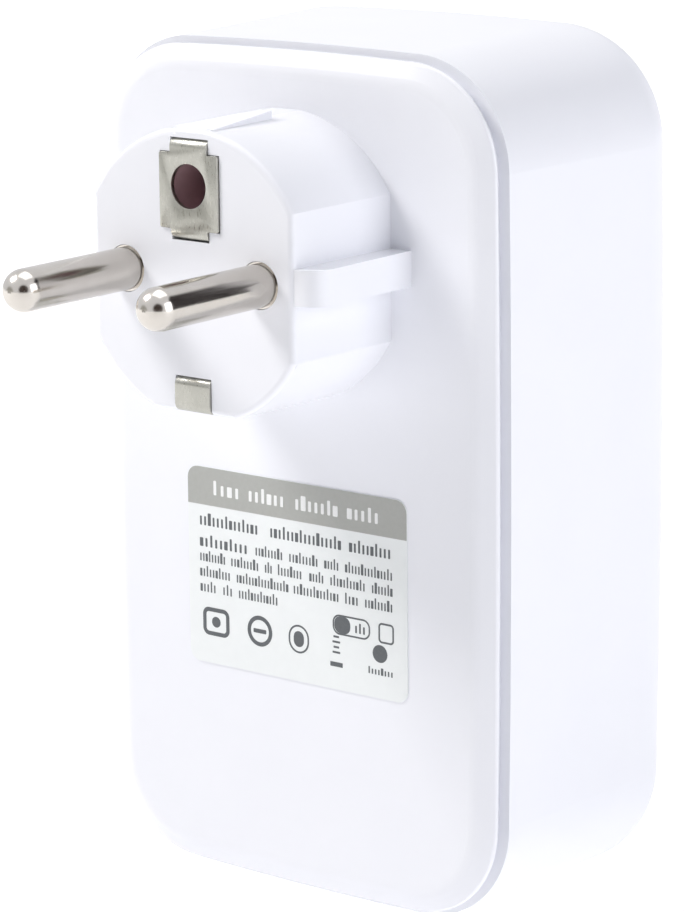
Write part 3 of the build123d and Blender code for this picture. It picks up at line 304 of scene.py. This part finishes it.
def pressed_powder(name, light, dark, grain_mm, roughness):
    """Ferrite, fired ceramic or vulcanised fibre: dull, with a grain that shows as specks."""
    material, tree, shader, place = start_material(name)
    grain = add_node(tree, "ShaderNodeTexVoronoi", None, {"Vector": place, "Scale": per_metre(grain_mm)})
    speck = add_node(tree, "ShaderNodeTexNoise", None, {
        "Vector": place, "Scale": per_metre(grain_mm * 2), "Detail": 5.0,
    })
    mixed = add_node(tree, "ShaderNodeMath", {"operation": "MULTIPLY"}, {
        0: grain.outputs["Distance"], 1: speck.outputs["Fac"],
    })
    shade = add_node(tree, "ShaderNodeMix", {"data_type": "RGBA"}, {
        "Factor": mixed.outputs[0], "A": colour(dark), "B": colour(light),
    })
    tree.links.new(shade.outputs["Result"], shader.inputs["Base Color"])
    bump = add_node(tree, "ShaderNodeBump", None, {
        "Strength": 0.6, "Distance": 0.05 * MM, "Height": mixed.outputs[0],
    })
    tree.links.new(bump.outputs["Normal"], shader.inputs["Normal"])
    shader.inputs["Roughness"].default_value = roughness
    return material


finish.update({
    "brown_wire": wire_insulation("brown_pvc", "#7A4A2C", "#633A20"),
    "blue_wire": wire_insulation("blue_pvc", "#2F6FC0", "#255CA6"),
    "green_wire": wire_insulation("green_pvc", "#4E9A45", "#3C8236"),
    "blue_lacquer": dipped_lacquer("blue_epoxy_lacquer", "#2E62B8", "#234F9C"),
    "ferrite": pressed_powder("manganese_zinc_ferrite", "#4A4B4E", "#262729", 0.3, 0.6),
    "ceramic": pressed_powder("fired_alumina", "#F0ECE2", "#DAD4C6", 0.25, 0.4),
    "fish_paper": pressed_powder("vulcanised_fibre", "#7C8288", "#5C6268", 0.5, 0.75),
})
print("finishes so far", len(finish))

# %% [markdown]
# ## Circuit boards
#
# A board is glass cloth and epoxy under a film of coloured solder mask. The copper tracks show
# through the mask as slightly lighter, slightly raised lines that keep to straight runs, and the
# cloth gives a fine weave. A Voronoi texture measured along the axes only gives cells with
# square sides: the edges between them are the gaps, and the cells are areas of copper.

# %% Solder mask over copper
def solder_masked_board(name, mask, over_copper):
    """Solder mask in two shades: over bare laminate and over copper tracks."""
    material, tree, shader, place = start_material(name)
    cells = add_node(tree, "ShaderNodeTexVoronoi", {"feature": "DISTANCE_TO_EDGE"}, {
        "Vector": place, "Scale": per_metre(3.2), "Randomness": 0.75,
    })
    copper = add_node(tree, "ShaderNodeMapRange", None, {
        "Value": cells.outputs["Distance"], "From Min": 0.05, "From Max": 0.08,
    })
    cloth = add_node(tree, "ShaderNodeTexChecker", None, {"Vector": place, "Scale": per_metre(0.45)})
    shade = add_node(tree, "ShaderNodeMix", {"data_type": "RGBA"}, {
        "Factor": copper.outputs["Result"], "A": colour(mask), "B": colour(over_copper),
    })
    tree.links.new(shade.outputs["Result"], shader.inputs["Base Color"])
    cloth_bump = add_node(tree, "ShaderNodeBump", None, {
        "Strength": 0.15, "Distance": 0.01 * MM, "Height": cloth.outputs["Fac"],
    })
    copper_bump = add_node(tree, "ShaderNodeBump", None, {
        "Strength": 0.7, "Distance": 0.035 * MM,
        "Height": copper.outputs["Result"], "Normal": cloth_bump.outputs["Normal"],
    })
    tree.links.new(copper_bump.outputs["Normal"], shader.inputs["Normal"])
    shader.inputs["Roughness"].default_value = 0.3
    return material


finish["green_board"] = solder_masked_board("green_solder_mask", "#14472C", "#1F6B42")
finish["blue_board"] = solder_masked_board("blue_solder_mask", "#152C5E", "#20468C")

# %% [markdown]
# ## Tape, sleeve and frosted plastic
#
# The transformer is wound and then wrapped in yellow polyester tape, whose turns lap every
# three millimetres. A capacitor's can wears a shrunk sleeve with one pale stripe that marks its
# negative side. The ring of light and the small light pipe are acrylic with a frosted skin:
# rough transmission spreads the light of the diodes behind.

# %% Three more finishes
def lapped_tape():
    """Glossy polyester tape in turns along Z."""
    material, tree, shader, place = start_material("yellow_polyester_tape")
    laps = add_node(tree, "ShaderNodeTexWave", {"wave_profile": "SAW", "bands_direction": "Z"}, {
        "Vector": place, "Scale": per_metre(3) / 20, "Distortion": 0.2,
    })
    shade = add_node(tree, "ShaderNodeMix", {"data_type": "RGBA"}, {
        "Factor": laps.outputs["Fac"], "A": colour("#E9C43A"), "B": colour("#CFA624"),
    })
    tree.links.new(shade.outputs["Result"], shader.inputs["Base Color"])
    bump = add_node(tree, "ShaderNodeBump", None, {
        "Strength": 0.6, "Distance": 0.06 * MM, "Height": laps.outputs["Fac"],
    })
    tree.links.new(bump.outputs["Normal"], shader.inputs["Normal"])
    shader.inputs["Roughness"].default_value = 0.25
    return material


def shrunk_sleeve():
    """Navy PVC sleeve with a pale stripe, wrinkled a little where it shrank."""
    material, tree, shader, place = start_material("navy_shrunk_sleeve")
    stripes = add_node(tree, "ShaderNodeTexWave", {"bands_direction": "X"}, {
        "Vector": place, "Scale": per_metre(9) / 20,
    })
    stripe = add_node(tree, "ShaderNodeMapRange", None, {
        "Value": stripes.outputs["Fac"], "From Min": 0.93, "From Max": 0.95,
    })
    wrinkle = add_node(tree, "ShaderNodeTexNoise", None, {
        "Vector": place, "Scale": per_metre(1.1), "Detail": 4.0,
    })
    shade = add_node(tree, "ShaderNodeMix", {"data_type": "RGBA"}, {
        "Factor": stripe.outputs["Result"], "A": colour("#1B2440"), "B": colour("#B9BEC9"),
    })
    tree.links.new(shade.outputs["Result"], shader.inputs["Base Color"])
    bump = add_node(tree, "ShaderNodeBump", None, {
        "Strength": 0.3, "Distance": 0.04 * MM, "Height": wrinkle.outputs["Fac"],
    })
    tree.links.new(bump.outputs["Normal"], shader.inputs["Normal"])
    shader.inputs["Roughness"].default_value = 0.3
    return material


def frosted_acrylic():
    """Acrylic whose mould was sand-blasted: it lets light through and hides what is behind."""
    material, tree, shader, place = start_material("frosted_acrylic")
    frost = add_node(tree, "ShaderNodeTexNoise", None, {
        "Vector": place, "Scale": per_metre(0.3), "Detail": 3.0,
    })
    haze = add_node(tree, "ShaderNodeMapRange", None, {
        "Value": frost.outputs["Fac"], "To Min": 0.4, "To Max": 0.65,
    })
    tree.links.new(haze.outputs["Result"], shader.inputs["Roughness"])
    bump = add_node(tree, "ShaderNodeBump", None, {
        "Strength": 0.4, "Distance": 0.02 * MM, "Height": frost.outputs["Fac"],
    })
    tree.links.new(bump.outputs["Normal"], shader.inputs["Normal"])
    shader.inputs["Base Color"].default_value = colour("#E9EEF4")
    shader.inputs["Transmission Weight"].default_value = 0.45
    shader.inputs["IOR"].default_value = 1.49
    return material


finish["yellow_tape"] = lapped_tape()
finish["can_sleeve"] = shrunk_sleeve()
finish["frosted_clear"] = frosted_acrylic()
print("finishes so far", len(finish))

# %% [markdown]
# ## The label's film and inks
#
# The rating label is white polyester film with an adhesive back. Its skin is satin and not quite
# flat, because the adhesive underneath has a texture of its own. Two inks are screened on it:
# a warm grey for the header and a darker grey for the lines below. Ink is thinner than a hair,
# so it gets almost no gloss of its own and a mottle where the screen laid it unevenly.

# %% Film and ink
def screened(name, light, dark, mottle_mm, roughness):
    """Polyester film or the ink on it: satin, mottled, and rippled by the adhesive."""
    material, tree, shader, place = start_material(name)
    mottle = add_node(tree, "ShaderNodeTexNoise", None, {
        "Vector": place, "Scale": per_metre(mottle_mm), "Detail": 5.0, "Roughness": 0.65,
    })
    shade = add_node(tree, "ShaderNodeMix", {"data_type": "RGBA"}, {
        "Factor": mottle.outputs["Fac"], "A": colour(light), "B": colour(dark),
    })
    tree.links.new(shade.outputs["Result"], shader.inputs["Base Color"])
    adhesive = add_node(tree, "ShaderNodeTexNoise", None, {
        "Vector": place, "Scale": per_metre(1.3), "Detail": 2.0,
    })
    bump = add_node(tree, "ShaderNodeBump", None, {
        "Strength": 0.3, "Distance": 0.02 * MM, "Height": adhesive.outputs["Fac"],
    })
    tree.links.new(bump.outputs["Normal"], shader.inputs["Normal"])
    shader.inputs["Roughness"].default_value = roughness
    return material


finish["label_film"] = screened("white_polyester_film", "#EFF2F2", "#E9ECEC", 1.5, 0.38)
header_ink = screened("warm_grey_ink", "#AFB0AC", "#A3A49F", 0.5, 0.45)
line_ink = screened("dark_grey_ink", "#63676A", "#505457", 0.3, 0.5)
header_white = screened("white_ink", "#F3F4F3", "#E8E9E8", 0.3, 0.45)

# %% [markdown]
# ## Dress the CAD pieces
#
# The record says which slot each CAD piece takes its finish from. Only the material slot of the
# piece's object changes: its mesh and its place are the CAD model's own.

# %% One finish for each CAD piece
for part in frame["record"]["subparts"]:
    for held in frame["nodes"][part["node"]].material_slots:
        held.material = finish[part["material_slot"]]

# %% [markdown]
# ## Making a piece
#
# A new piece is built in a bmesh, which is Blender's mesh while it is being edited. When the
# shape is done, its faces are turned outwards, it becomes an object at the origin, it is told
# which body it moves with, and it is given its material.

# %% From a bmesh to a piece
def finished_piece(name, mesh, material, body, smooth_degrees=30):
    """Turns a bmesh into an object that rides on a body of the CAD model."""
    bmesh.ops.recalc_face_normals(mesh, faces=mesh.faces[:])
    for edge in mesh.edges:
        edge.smooth = edge.is_manifold and edge.calc_face_angle(math.pi) < math.radians(smooth_degrees)
    for face in mesh.faces:
        face.smooth = True
    data = bpy.data.meshes.new(name)
    mesh.to_mesh(data)
    mesh.free()
    data.materials.append(material)
    made = bpy.data.objects.new(name, data)
    bpy.context.scene.collection.objects.link(made)
    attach(made, body)
    triangles = sum(len(face.vertices) - 2 for face in data.polygons)
    print(name, "has", triangles, "triangles")
    return made


# %% [markdown]
# ## The rating label
#
# The label is a sheet 0.12 mm thick with rounded corners, and everything printed on it is a
# layer of ink. Each mark is made the same way: a single square is scaled, its corners are
# bevelled round, and it is extruded by the thickness of the layer. What the marks say is left
# out, so each word is a row of short upright strokes that keeps the weight of printed text and
# spells nothing, and the symbols are plain geometric shapes.
#
# The strokes are laid out in millimetres from the label's upper left corner as it is read, so
# they move with the label if the label moves.

# %% A mark on the label
label_low, label_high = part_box("rating_label")
FACING_WALL = Matrix(((-1, 0, 0, 0), (0, 0, 1, 0), (0, 1, 0, 0), (0, 0, 0, 1)))
INK = 0.015


def add_mark(mesh, across, down, width, height, corner=0.0, level=0.0, rounded=(0, 1, 2, 3)):
    """Adds a mark to the label, by its middle, size and corner radius in millimetres."""
    middle = Vector((label_high.x - across * MM, label_high.y + level * MM, label_high.z - down * MM))
    place = Matrix.Translation(middle) @ FACING_WALL @ Matrix.Diagonal((width * MM, height * MM, 1, 1))
    square = bmesh.ops.create_grid(mesh, x_segments=1, y_segments=1, size=0.5, matrix=place)["verts"]
    if corner:
        square = bmesh.ops.bevel(
            mesh, geom=[square[i] for i in rounded], offset=corner * MM,
            segments=6, profile=0.5, affect="VERTICES", material=-1,
        )["verts"]
    raised = bmesh.ops.extrude_face_region(mesh, geom=square[0].link_faces[:])["geom"]
    lifted = [v for v in raised if isinstance(v, bmesh.types.BMVert)]
    bmesh.ops.translate(mesh, verts=lifted, vec=(0, INK * MM, 0))
    return lifted


# %% [markdown]
# A dummy word is a row of strokes at the pitch of the letters it stands for. Every third or
# fourth stroke is taller, as ascenders are, and every fifth is short and wide, so that a line
# has the rhythm of type without its shapes.

# %% A dummy word
def add_word(mesh, start, end, down, height, stroke=0.22, level=0.0):
    """Adds a row of strokes from start to end that looks like a word from a distance."""
    pitch = stroke * 2.35
    count = max(2, round((end - start) / pitch))
    for index in range(count):
        across = start + (index + 0.5) * (end - start) / count
        tall = height if (index * 5 + count) % 4 == 0 else height * 0.72
        wide = stroke * (1.7 if (index * 3 + count) % 5 == 0 else 1.0)
        low_edge = down + height / 2
        add_mark(mesh, across, low_edge - tall / 2, wide, tall, stroke * 0.3, level)


# %% [markdown]
# The header band keeps the label's own rounding at its top and is square below. The white words
# lie on the band, one ink layer higher.

# %% Header band and its words
label_width = (label_high.x - label_low.x) / MM
LABEL_CORNER = 1.5
BAND_HEIGHT = 4.6
BAND_MARGIN = 0.03

band = bmesh.new()
add_mark(
    band, label_width / 2, BAND_HEIGHT / 2, label_width - 2 * BAND_MARGIN,
    BAND_HEIGHT - 2 * BAND_MARGIN, LABEL_CORNER, rounded=(2, 3),
)
finished_piece("label_header_band", band, header_ink, "case")

words = bmesh.new()
for start, end in ((3.6, 8.0), (9.0, 14.6), (15.9, 22.4), (23.5, 28.3)):
    add_word(words, start, end, 2.35, 1.75, stroke=0.42, level=INK)
finished_piece("label_header_words", words, header_white, "case", smooth_degrees=50)

# %% [markdown]
# Below the band come one line of figures, a paragraph of four lines whose first word is bolder,
# and a row of symbols with a small badge above its right end.

# %% Lines of print
FIGURES = ((1.6, 10.6), (12.2, 22.8), (23.8, 29.9))
PARAGRAPH = (
    ((10.0, 14.2), (15.0, 19.4), (20.2, 22.4), (23.2, 30.1)),
    ((1.6, 5.6), (6.3, 10.6), (11.4, 12.6), (13.3, 17.0), (18.0, 20.2), (21.0, 26.2), (27.0, 30.1)),
    ((1.6, 6.3), (7.1, 15.0), (15.6, 22.4), (23.1, 25.2), (26.0, 30.1)),
    ((1.6, 4.1), (5.0, 6.6), (7.4, 13.4)),
)
PARAGRAPH_TOP = 8.9
LINE_PITCH = 1.85

print_lines = bmesh.new()
for start, end in FIGURES:
    add_word(print_lines, start, end, 6.3, 1.5, stroke=0.27)
add_word(print_lines, 1.6, 9.0, PARAGRAPH_TOP, 1.45, stroke=0.3)
for row, line in enumerate(PARAGRAPH):
    for start, end in line:
        add_word(print_lines, start, end, PARAGRAPH_TOP + row * LINE_PITCH, 1.3, stroke=0.2)
finished_piece("label_print_lines", print_lines, line_ink, "case", smooth_degrees=50)

# %% [markdown]
# The symbols are rings, discs, a rounded frame and a stack of bars. A ring is a disc with a hole,
# so it is made by inset: the outline is inset by the width of the line, the inner face is
# deleted, and what is left is extruded.

# %% Symbols on the label
def add_outline(mesh, across, down, width, height, corner, line):
    """Adds a rounded frame, or a ring where the corner is half of the width."""
    middle = Vector((label_high.x - across * MM, label_high.y, label_high.z - down * MM))
    place = Matrix.Translation(middle) @ FACING_WALL @ Matrix.Diagonal((width * MM, height * MM, 1, 1))
    square = bmesh.ops.create_grid(mesh, x_segments=1, y_segments=1, size=0.5, matrix=place)["verts"]
    rounded = bmesh.ops.bevel(
        mesh, geom=square, offset=corner * MM * 0.999,
        segments=10, profile=0.5, affect="VERTICES", material=-1,
    )["verts"]
    face = rounded[0].link_faces[0]
    rim = bmesh.ops.inset_region(
        mesh, faces=[face], thickness=line * MM, use_even_offset=True, use_boundary=True,
    )["faces"]
    bmesh.ops.delete(mesh, geom=[face], context="FACES")
    raised = bmesh.ops.extrude_face_region(mesh, geom=rim)["geom"]
    lifted = [v for v in raised if isinstance(v, bmesh.types.BMVert)]
    bmesh.ops.translate(mesh, verts=lifted, vec=(0, INK * MM, 0))


SYMBOL_ROW = 18.6
symbols = bmesh.new()
add_outline(symbols, 4.0, SYMBOL_ROW, 4.0, 3.4, 0.9, 0.5)
add_mark(symbols, 4.0, SYMBOL_ROW, 1.3, 1.3, 0.64)
add_outline(symbols, 10.6, SYMBOL_ROW, 3.7, 3.7, 1.85, 0.5)
add_mark(symbols, 10.6, SYMBOL_ROW, 1.9, 0.5, 0.1)
add_outline(symbols, 16.4, SYMBOL_ROW, 3.0, 3.4, 1.5, 0.22)
add_mark(symbols, 16.4, SYMBOL_ROW, 1.5, 1.9, 0.74)
for step in range(4):
    add_mark(symbols, 21.9, SYMBOL_ROW - 1.2 + step * 0.62, 0.8 + 0.3 * (step % 2), 0.24, 0.05)
add_mark(symbols, 21.9, SYMBOL_ROW + 2.1, 1.8, 0.55, 0.05)
add_mark(symbols, 28.2, SYMBOL_ROW - 0.2, 2.1, 2.1, 1.04)
add_word(symbols, 26.4, 30.1, SYMBOL_ROW + 1.9, 0.85, stroke=0.2)
add_outline(symbols, 24.1, 15.9, 5.4, 2.4, 1.0, 0.2)
add_mark(symbols, 22.8, 15.9, 2.3, 2.0, 0.85)
add_word(symbols, 24.5, 26.2, 15.9, 1.2, stroke=0.24)
add_outline(symbols, 29.1, 15.9, 2.2, 2.4, 0.5, 0.22)
finished_piece("label_symbols", symbols, line_ink, "case", smooth_degrees=50)

# %% [markdown]
# ## The earth clips
#
# A pressed clip is never sharp: the punch rolls one side of its edge over and plating fills the
# rest, so every edge of the real one shows a thin bright line. CAD made the clips from flat
# strip with square edges. Each copy here is merged, its flat faces are joined back together,
# and every edge sharper than 35 degrees is rounded with a bevel. The copy then stands for the
# CAD piece, which stays behind for the physics.

# %% Round the edges of pressed metal
def softened_copy(node, radius_mm, segments=2):
    """A merged copy of a CAD piece, with its sharp edges rounded."""
    mesh = bmesh.new()
    mesh.from_mesh(frame["nodes"][node].data)
    bmesh.ops.remove_doubles(mesh, verts=mesh.verts[:], dist=0.002 * MM)
    bmesh.ops.dissolve_limit(
        mesh, angle_limit=math.radians(0.5), verts=mesh.verts[:], edges=mesh.edges[:],
        use_dissolve_boundaries=False,
    )
    sharp = [e for e in mesh.edges if e.is_manifold and e.calc_face_angle(0) > math.radians(35)]
    bmesh.ops.bevel(
        mesh, geom=sharp, offset=radius_mm * MM, segments=segments, profile=0.5,
        affect="EDGES", material=-1, clamp_overlap=True,
    )
    print(node, "had", len(sharp), "sharp edges")
    return mesh


CLIP_EDGE = 0.09
lower_clip = softened_copy("plug_earth_clip_bottom", CLIP_EDGE)
lower_clip_piece = finished_piece(
    "lower_earth_clip", lower_clip, finish["nickel_sheet"], "case",
)
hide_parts("plug_earth_clip_bottom")

upper_clip = softened_copy("plug_earth_clip_top", CLIP_EDGE)
upper_clip_piece = finished_piece(
    "upper_earth_clip", upper_clip, finish["nickel_sheet"], "case",
)
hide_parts("plug_earth_clip_top")

# %% [markdown]
# ## The hole for an earth pin
#
# Behind the hole in the upper clip lies a deep blind well. It is lined with a thin sleeve whose
# brown is partly the colour of phenolic resin and partly painted shade for the depth of the well,
# which is why the hole looks brown and not white. The sleeve starts as a
# tube without thickness, its far circle is filled, and then the whole surface is made solid.

# %% Line the earth well
earth_hole = next(m for m in frame["record"]["mounts"] if m["name"] == "plug_earth_hole")
well_axis = Vector(earth_hole["pos_m"])
LINING_RADIUS = 2.95
LINING_WALL = 0.04
LINING_FRONT = -0.4
LINING_END = -14.93

lining = bmesh.new()
lining_middle = Matrix.Translation((well_axis.x, (LINING_FRONT + LINING_END) / 2 * MM, well_axis.z))
bmesh.ops.create_cone(
    lining, cap_ends=False, segments=48, radius1=LINING_RADIUS * MM, radius2=LINING_RADIUS * MM,
    depth=(LINING_FRONT - LINING_END) * MM,
    matrix=lining_middle @ Matrix.Rotation(math.radians(90), 4, "X"),
)
far_circle = [e for e in lining.edges if all(v.co.y < -10 * MM for v in e.verts)]
bmesh.ops.holes_fill(lining, edges=far_circle)
bmesh.ops.solidify(lining, geom=lining.faces[:], thickness=LINING_WALL * MM)
# The sleeve's brown is partly painted shade for the inside of the deep well.
finished_piece("earth_well_lining_and_shade", lining, brown_resin_and_well_shade, "case")

# %% [markdown]
# ## The symbol on the button
#
# The room side has one button, and it carries the usual sign for on and off: an open ring with
# a bar. It is pad-printed in pale grey. A small square profile is spun round the button's
# axis for 290 degrees to make the open ring, and the bar is a scaled cube.

# %% Print the button
button_low, button_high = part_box("power_button")
button_middle = (button_low + button_high) / 2
SIGN_RADIUS = 2.1
SIGN_LINE = 0.42
SIGN_GAP = 70

sign = bmesh.new()
front = button_low.y
profile_place = Matrix.Translation((button_middle.x, front, button_middle.z + SIGN_RADIUS * MM))
profile_turn = Matrix.Rotation(math.radians(90), 4, "Y")
profile = bmesh.ops.create_grid(
    sign, x_segments=1, y_segments=1, size=0.5,
    matrix=profile_place @ profile_turn @ Matrix.Diagonal((SIGN_LINE * MM, 2 * INK * MM, 1, 1)),
)["verts"]
bmesh.ops.rotate(
    sign, verts=profile, cent=button_middle,
    matrix=Matrix.Rotation(math.radians(SIGN_GAP / 2), 3, "Y"),
)
spun = profile + list({e for v in profile for e in v.link_edges}) + profile[0].link_faces[:]
bmesh.ops.spin(
    sign, geom=spun, cent=button_middle, axis=(0, 1, 0), dvec=(0, 0, 0),
    angle=math.radians(360 - SIGN_GAP), steps=48, use_duplicate=False,
)
bar_place = Matrix.Translation((button_middle.x, front, button_middle.z + SIGN_RADIUS * 0.95 * MM))
bmesh.ops.create_cube(
    sign, size=1,
    matrix=bar_place @ Matrix.Diagonal((SIGN_LINE * MM, 2 * INK * MM, SIGN_RADIUS * 1.15 * MM, 1)),
)
finished_piece("button_sign", sign, header_ink, "button", smooth_degrees=40)

# %% [markdown]
# ## The studio
#
# The object stands on a sheet of white acrylic that is lit from below, more so further out, and
# so stays as pale as the background. The key softbox stands high on the left and grazes the
# back, which throws the soft shadow of the plug far down to the right. The rest of the light
# comes from white walls all round, which is what the world stands for.
#
# Nickel shows what surrounds it. In an all-white room the pins would look like chalk, so a
# photographer leaves dark gaps between the white walls. Two soft dark patches in the world do
# the same, and a pale grey one greys the flat clips. Only a mirror-like ray sees them, and the
# background itself is plain white.

# %% Acrylic table
TABLE_RADIUS = 1.4
table_mesh = bmesh.new()
bmesh.ops.create_circle(
    table_mesh, cap_ends=True, segments=96, radius=TABLE_RADIUS,
    matrix=Matrix.Translation((0, 0, cad_box[0].z)),
)
acrylic, acrylic_tree, acrylic_shader, acrylic_place = start_material("white_acrylic")
clouding = add_node(acrylic_tree, "ShaderNodeTexNoise", None, {
    "Vector": acrylic_place, "Scale": per_metre(60),
})
acrylic_shade = add_node(acrylic_tree, "ShaderNodeMix", {"data_type": "RGBA"}, {
    "Factor": clouding.outputs["Fac"], "A": colour("#D2D2D4"), "B": colour("#CCCCCF"),
})
acrylic_tree.links.new(acrylic_shade.outputs["Result"], acrylic_shader.inputs["Base Color"])
acrylic_shader.inputs["Roughness"].default_value = 0.6
acrylic_shader.inputs["Emission Color"].default_value = colour("#FFFFFF")
reach = add_node(acrylic_tree, "ShaderNodeVectorMath", {"operation": "LENGTH"}, {0: acrylic_place})
glow = add_node(acrylic_tree, "ShaderNodeMapRange", {"interpolation_type": "SMOOTHSTEP"}, {
    "Value": reach.outputs["Value"], "From Min": 0.2, "From Max": 0.9,
    "To Min": 0.6, "To Max": 0.9,
})
acrylic_tree.links.new(glow.outputs["Result"], acrylic_shader.inputs["Emission Strength"])
table_data = bpy.data.meshes.new("acrylic_table")
table_mesh.to_mesh(table_data)
table_mesh.free()
table_data.materials.append(acrylic)
table = bpy.data.objects.new("acrylic_table", table_data)
bpy.context.scene.collection.objects.link(table)
print("table at", round(cad_box[0].z / MM, 2), "mm")

# %% [markdown]
# The world mixes three things. A ray from the camera sees plain white. A diffuse ray sees the
# white walls. A glossy ray sees the walls with their gaps, each gap being a soft disc round one
# direction: the nearer a ray's direction is to the disc's middle, the larger their dot product.
# A gap is given by its direction, its radius and soft edge in degrees, and its colour.

# %% White walls with three gaps
world = bpy.data.worlds.new("white_studio")
bpy.context.scene.world = world
world.use_nodes = True
sky = world.node_tree
sky.nodes.clear()
direction = add_node(sky, "ShaderNodeTexCoord").outputs["Generated"]
WALL_GAPS = (
    ((-0.60, 0.77, 0.22), 20, 9, "#4A403C"),
    ((-0.66, -0.70, 0.30), 24, 10, "#3A3638"),
    ((0.63, 0.75, -0.10), 16, 12, "#B4B3AE"),
)
seen = colour("#F4F5FA")
for aim, radius, softness, gap_colour in WALL_GAPS:
    nearness = add_node(sky, "ShaderNodeVectorMath", {"operation": "DOT_PRODUCT"}, {
        0: direction, 1: Vector(aim).normalized(),
    })
    inside = add_node(sky, "ShaderNodeMapRange", {"interpolation_type": "SMOOTHSTEP"}, {
        "Value": nearness.outputs["Value"],
        "From Min": math.cos(math.radians(radius + softness)),
        "From Max": math.cos(math.radians(radius)),
    })
    seen = add_node(sky, "ShaderNodeMix", {"data_type": "RGBA"}, {
        "Factor": inside.outputs["Result"], "A": seen, "B": colour(gap_colour),
    }).outputs["Result"]
ray = add_node(sky, "ShaderNodeLightPath")
WALL_LIGHT = 0.23
walls = add_node(sky, "ShaderNodeBackground", None, {
    "Color": colour("#F7F8FB"), "Strength": WALL_LIGHT,
})
mirrored = add_node(sky, "ShaderNodeBackground", None, {"Color": seen, "Strength": 1.0})
backdrop = add_node(sky, "ShaderNodeBackground", None, {"Color": colour("#FFFFFF"), "Strength": 1.0})
lit = add_node(sky, "ShaderNodeMixShader", None, {
    0: ray.outputs["Is Glossy Ray"], 1: walls.outputs[0], 2: mirrored.outputs[0],
})
shown = add_node(sky, "ShaderNodeMixShader", None, {
    0: ray.outputs["Is Camera Ray"], 1: lit.outputs[0], 2: backdrop.outputs[0],
})
add_node(sky, "ShaderNodeOutputWorld", None, {"Surface": shown.outputs[0]})
print("gaps between the walls", len(WALL_GAPS))

# %% [markdown]
# A softbox is an area light. It stands off along a direction from the middle of the object and
# looks back at it. The key is wide enough for its shadow edges to melt. A fill on the side of
# the rib keeps that side nearly as bright as the background, and one overhead does the same for
# the top. Distances and sizes are in metres, powers in watts.

# %% Softboxes
middle = (cad_box[0] + cad_box[1]) / 2


def softbox(name, aim, distance, size, power, tint):
    """A square area light that looks at the middle of the object."""
    data = bpy.data.lights.new(name, "AREA")
    data.size = size
    data.energy = power
    data.color = colour(tint)[:3]
    lamp = bpy.data.objects.new(name, data)
    lamp.location = middle + Vector(aim).normalized() * distance
    lamp.rotation_euler = (lamp.location - middle).to_track_quat("Z", "Y").to_euler()
    bpy.context.scene.collection.objects.link(lamp)


softbox("key_softbox", (0.52, 0.34, 0.66), 0.8, 0.25, 4.8, "#FFFDFB")
softbox("fill_softbox", (-0.95, -0.1, 0.3), 0.9, 0.6, 3.3, "#F8F9FF")
softbox("overhead_softbox", (0.0, -0.1, 1.0), 0.9, 0.7, 2.4, "#FFFFFF")

# %% [markdown]
# ## The camera
#
# A long lens from half a metre away keeps the plug's pins from looking too large. The camera
# stands behind the object, to the side of its rib and a little above it, and is tilted half a
# degree, as a hand-held one is.

# %% Place the camera
CAMERA_PLACE = Vector((-0.2591, 0.3052, 0.0717))
CAMERA_AIM = Vector((-0.02813, 0.00954, -0.01459))
CAMERA_ROLL = -0.56
camera_data = bpy.data.cameras.new("camera")
camera_data.lens = 146.3
camera_data.sensor_width = 36
camera = bpy.data.objects.new("camera", camera_data)
camera.location = CAMERA_PLACE
look = (CAMERA_AIM - CAMERA_PLACE).to_track_quat("-Z", "Y")
camera.rotation_euler = (look @ Quaternion((0, 0, 1), math.radians(CAMERA_ROLL))).to_euler()
bpy.context.scene.collection.objects.link(camera)
bpy.context.scene.camera = camera
bpy.context.scene.view_settings.view_transform = "Standard"
print("camera is", round((CAMERA_PLACE - middle).length, 3), "m from the middle")

# %% Print the CAD box
print("CAD box", [round(v / MM, 2) for c in cad_box for v in c])
